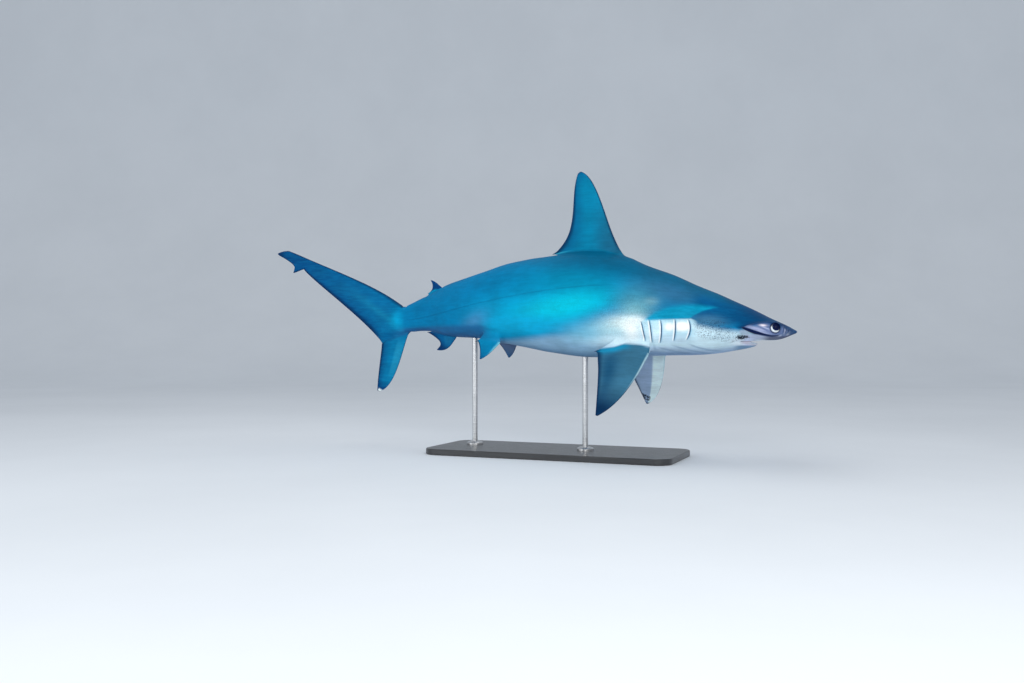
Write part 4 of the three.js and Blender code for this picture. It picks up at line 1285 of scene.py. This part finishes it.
# The base of the stand is a flat board of close-grained wood under dark satin lacquer.
# Its shape comes with the frame; only the finish is given here, with the wood's grain just showing.
lacquer, tree, shader = new_material("dark_lacquer")
place = node(tree, "TexCoord").outputs["Object"]
cloud, pores = unevenness(tree, scaled(tree, place, (1.0, 14.0, 14.0)), 5, 34)
colour = mixed(tree, cloud, (0.020, 0.021, 0.023), (0.036, 0.038, 0.041))
colour = mixed(tree, product(tree, pores, 0.4), colour, (0.014, 0.014, 0.015))
set_surface(tree, shader, colour, sum_of(tree, 0.30, (pores, 0.12)), pores, 0.12, 0.0004)
shader.inputs["Coat Weight"].default_value = 0.25
shader.inputs["Coat Roughness"].default_value = 0.2
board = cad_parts["stand_base"]
board.data.materials.clear()
board.data.materials.append(lacquer)

# The two rods and their collars are turned stainless steel, screwed up through the base into the belly.
# Fine rings from the lathe run round them, so the brushing is drawn out across and close along the rod.
steel, tree, shader = new_material("turned_steel")
place = node(tree, "TexCoord").outputs["Object"]
cloud, rings = unevenness(tree, scaled(tree, place, (3.0, 3.0, 60.0)), 6, 26)
colour = mixed(tree, cloud, (0.50, 0.51, 0.52), (0.64, 0.65, 0.66))
set_surface(tree, shader, colour, sum_of(tree, 0.24, (rings, 0.16)), rings, 0.15, 0.0002)
shader.inputs["Metallic"].default_value = 1.0
for end in ("front", "rear"):
    for name in ("stand_rod_", "stand_collar_"):
        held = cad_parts[name + end]
        held.data.materials.clear()
        held.data.materials.append(steel)

# The floor is plain pale studio board, laid flat and swept up far behind the model without an edge.
# It is matt, with faint clouds in its tone.
FLOOR_HALF, SWEEP_START, SWEEP_RADIUS, SWEEP_TOP = 16.0, 6.5, 4.0, 7.0
SWEEP_STEPS = 24
floor_profile = [(-FLOOR_HALF, 0.0), (SWEEP_START, 0.0)]
for step in range(1, SWEEP_STEPS + 1):
    turn = math.pi / 2 * step / SWEEP_STEPS
    floor_profile.append((SWEEP_START + SWEEP_RADIUS * math.sin(turn), SWEEP_RADIUS * (1 - math.cos(turn))))
floor_profile.append((SWEEP_START + SWEEP_RADIUS, SWEEP_TOP))
CAMERA_TURN = math.radians(22.5)
ahead = np.array([-math.sin(CAMERA_TURN), math.cos(CAMERA_TURN), 0])
beside = np.array([math.cos(CAMERA_TURN), math.sin(CAMERA_TURN), 0])
floor_points = [
    tuple(ahead * far + beside * across + np.array([0, 0, up]))
    for far, up in floor_profile for across in (-FLOOR_HALF, FLOOR_HALF)
]
floor_mesh = bpy.data.meshes.new("studio_floor")
floor_faces = [(2 * i, 2 * i + 1, 2 * i + 3, 2 * i + 2) for i in range(len(floor_profile) - 1)]
floor_mesh.from_pydata(floor_points, [], floor_faces)
floor_mesh.shade_smooth()
floor = show("studio_floor", floor_mesh)
pale_board, tree, shader = new_material("pale_board")
cloud, grain = unevenness(tree, node(tree, "TexCoord").outputs["Object"], 0.7, 60)
colour = mixed(tree, cloud, (0.74, 0.78, 0.82), (0.78, 0.82, 0.86))
set_surface(tree, shader, colour, sum_of(tree, 0.74, (grain, 0.1)))
floor_mesh.materials.append(pale_board)

# Plain soft studio light: a pale world, a large key light up beside the camera, a top light and a fill.
# Each lamp is a wide round panel, aimed at the middle of the model.
world = bpy.data.worlds.new("studio_air")
bpy.context.scene.world = world
world.use_nodes = True
world.node_tree.nodes["Background"].inputs["Color"].default_value = (0.90, 0.94, 1.0, 1)
world.node_tree.nodes["Background"].inputs["Strength"].default_value = 0.62
LIGHTS = [
    ("key_light", (2.2, -4.0, 1.9), 2.8, 95, (1.0, 0.99, 0.97)),
    ("top_light", (-0.3, 0.4, 3.6), 3.0, 20, (0.96, 0.98, 1.0)),
    ("fill_light", (-2.4, -3.8, 0.8), 2.6, 45, (0.97, 0.99, 1.0)),
]
for name, place, size, power, color in LIGHTS:
    lamp = bpy.data.lights.new(name, "AREA")
    lamp.shape, lamp.size, lamp.energy, lamp.color = "DISK", size, power, color
    holder = show(name, lamp)
    holder.location = place
    holder.rotation_euler = (Vector((0, 0, 0.5)) - Vector(place)).to_track_quat("-Z", "Y").to_euler()

# The camera looks level at the animal's right side with a 35 mm lens, from just below the hammer's height.
# Its place is given from a point of the spine near the first dorsal fin: beside it, before it and below it.
CAMERA_BESIDE = -360.24
CAMERA_BEFORE = -3861.6
CAMERA_BELOW = 51.6
lens_data = bpy.data.cameras.new("photo_camera")
lens_data.lens, lens_data.sensor_width = 35, 36
camera = show("photo_camera", lens_data)
aim_place = bend([[720, 0, -CAMERA_BELOW]])[0] / MM
camera.location = Vector((aim_place + beside * CAMERA_BESIDE + ahead * CAMERA_BEFORE) * MM)
camera.rotation_euler = Vector(ahead).to_track_quat("-Z", "Y").to_euler()
bpy.context.scene.camera = camera
bpy.context.scene.view_settings.view_transform = "Standard"
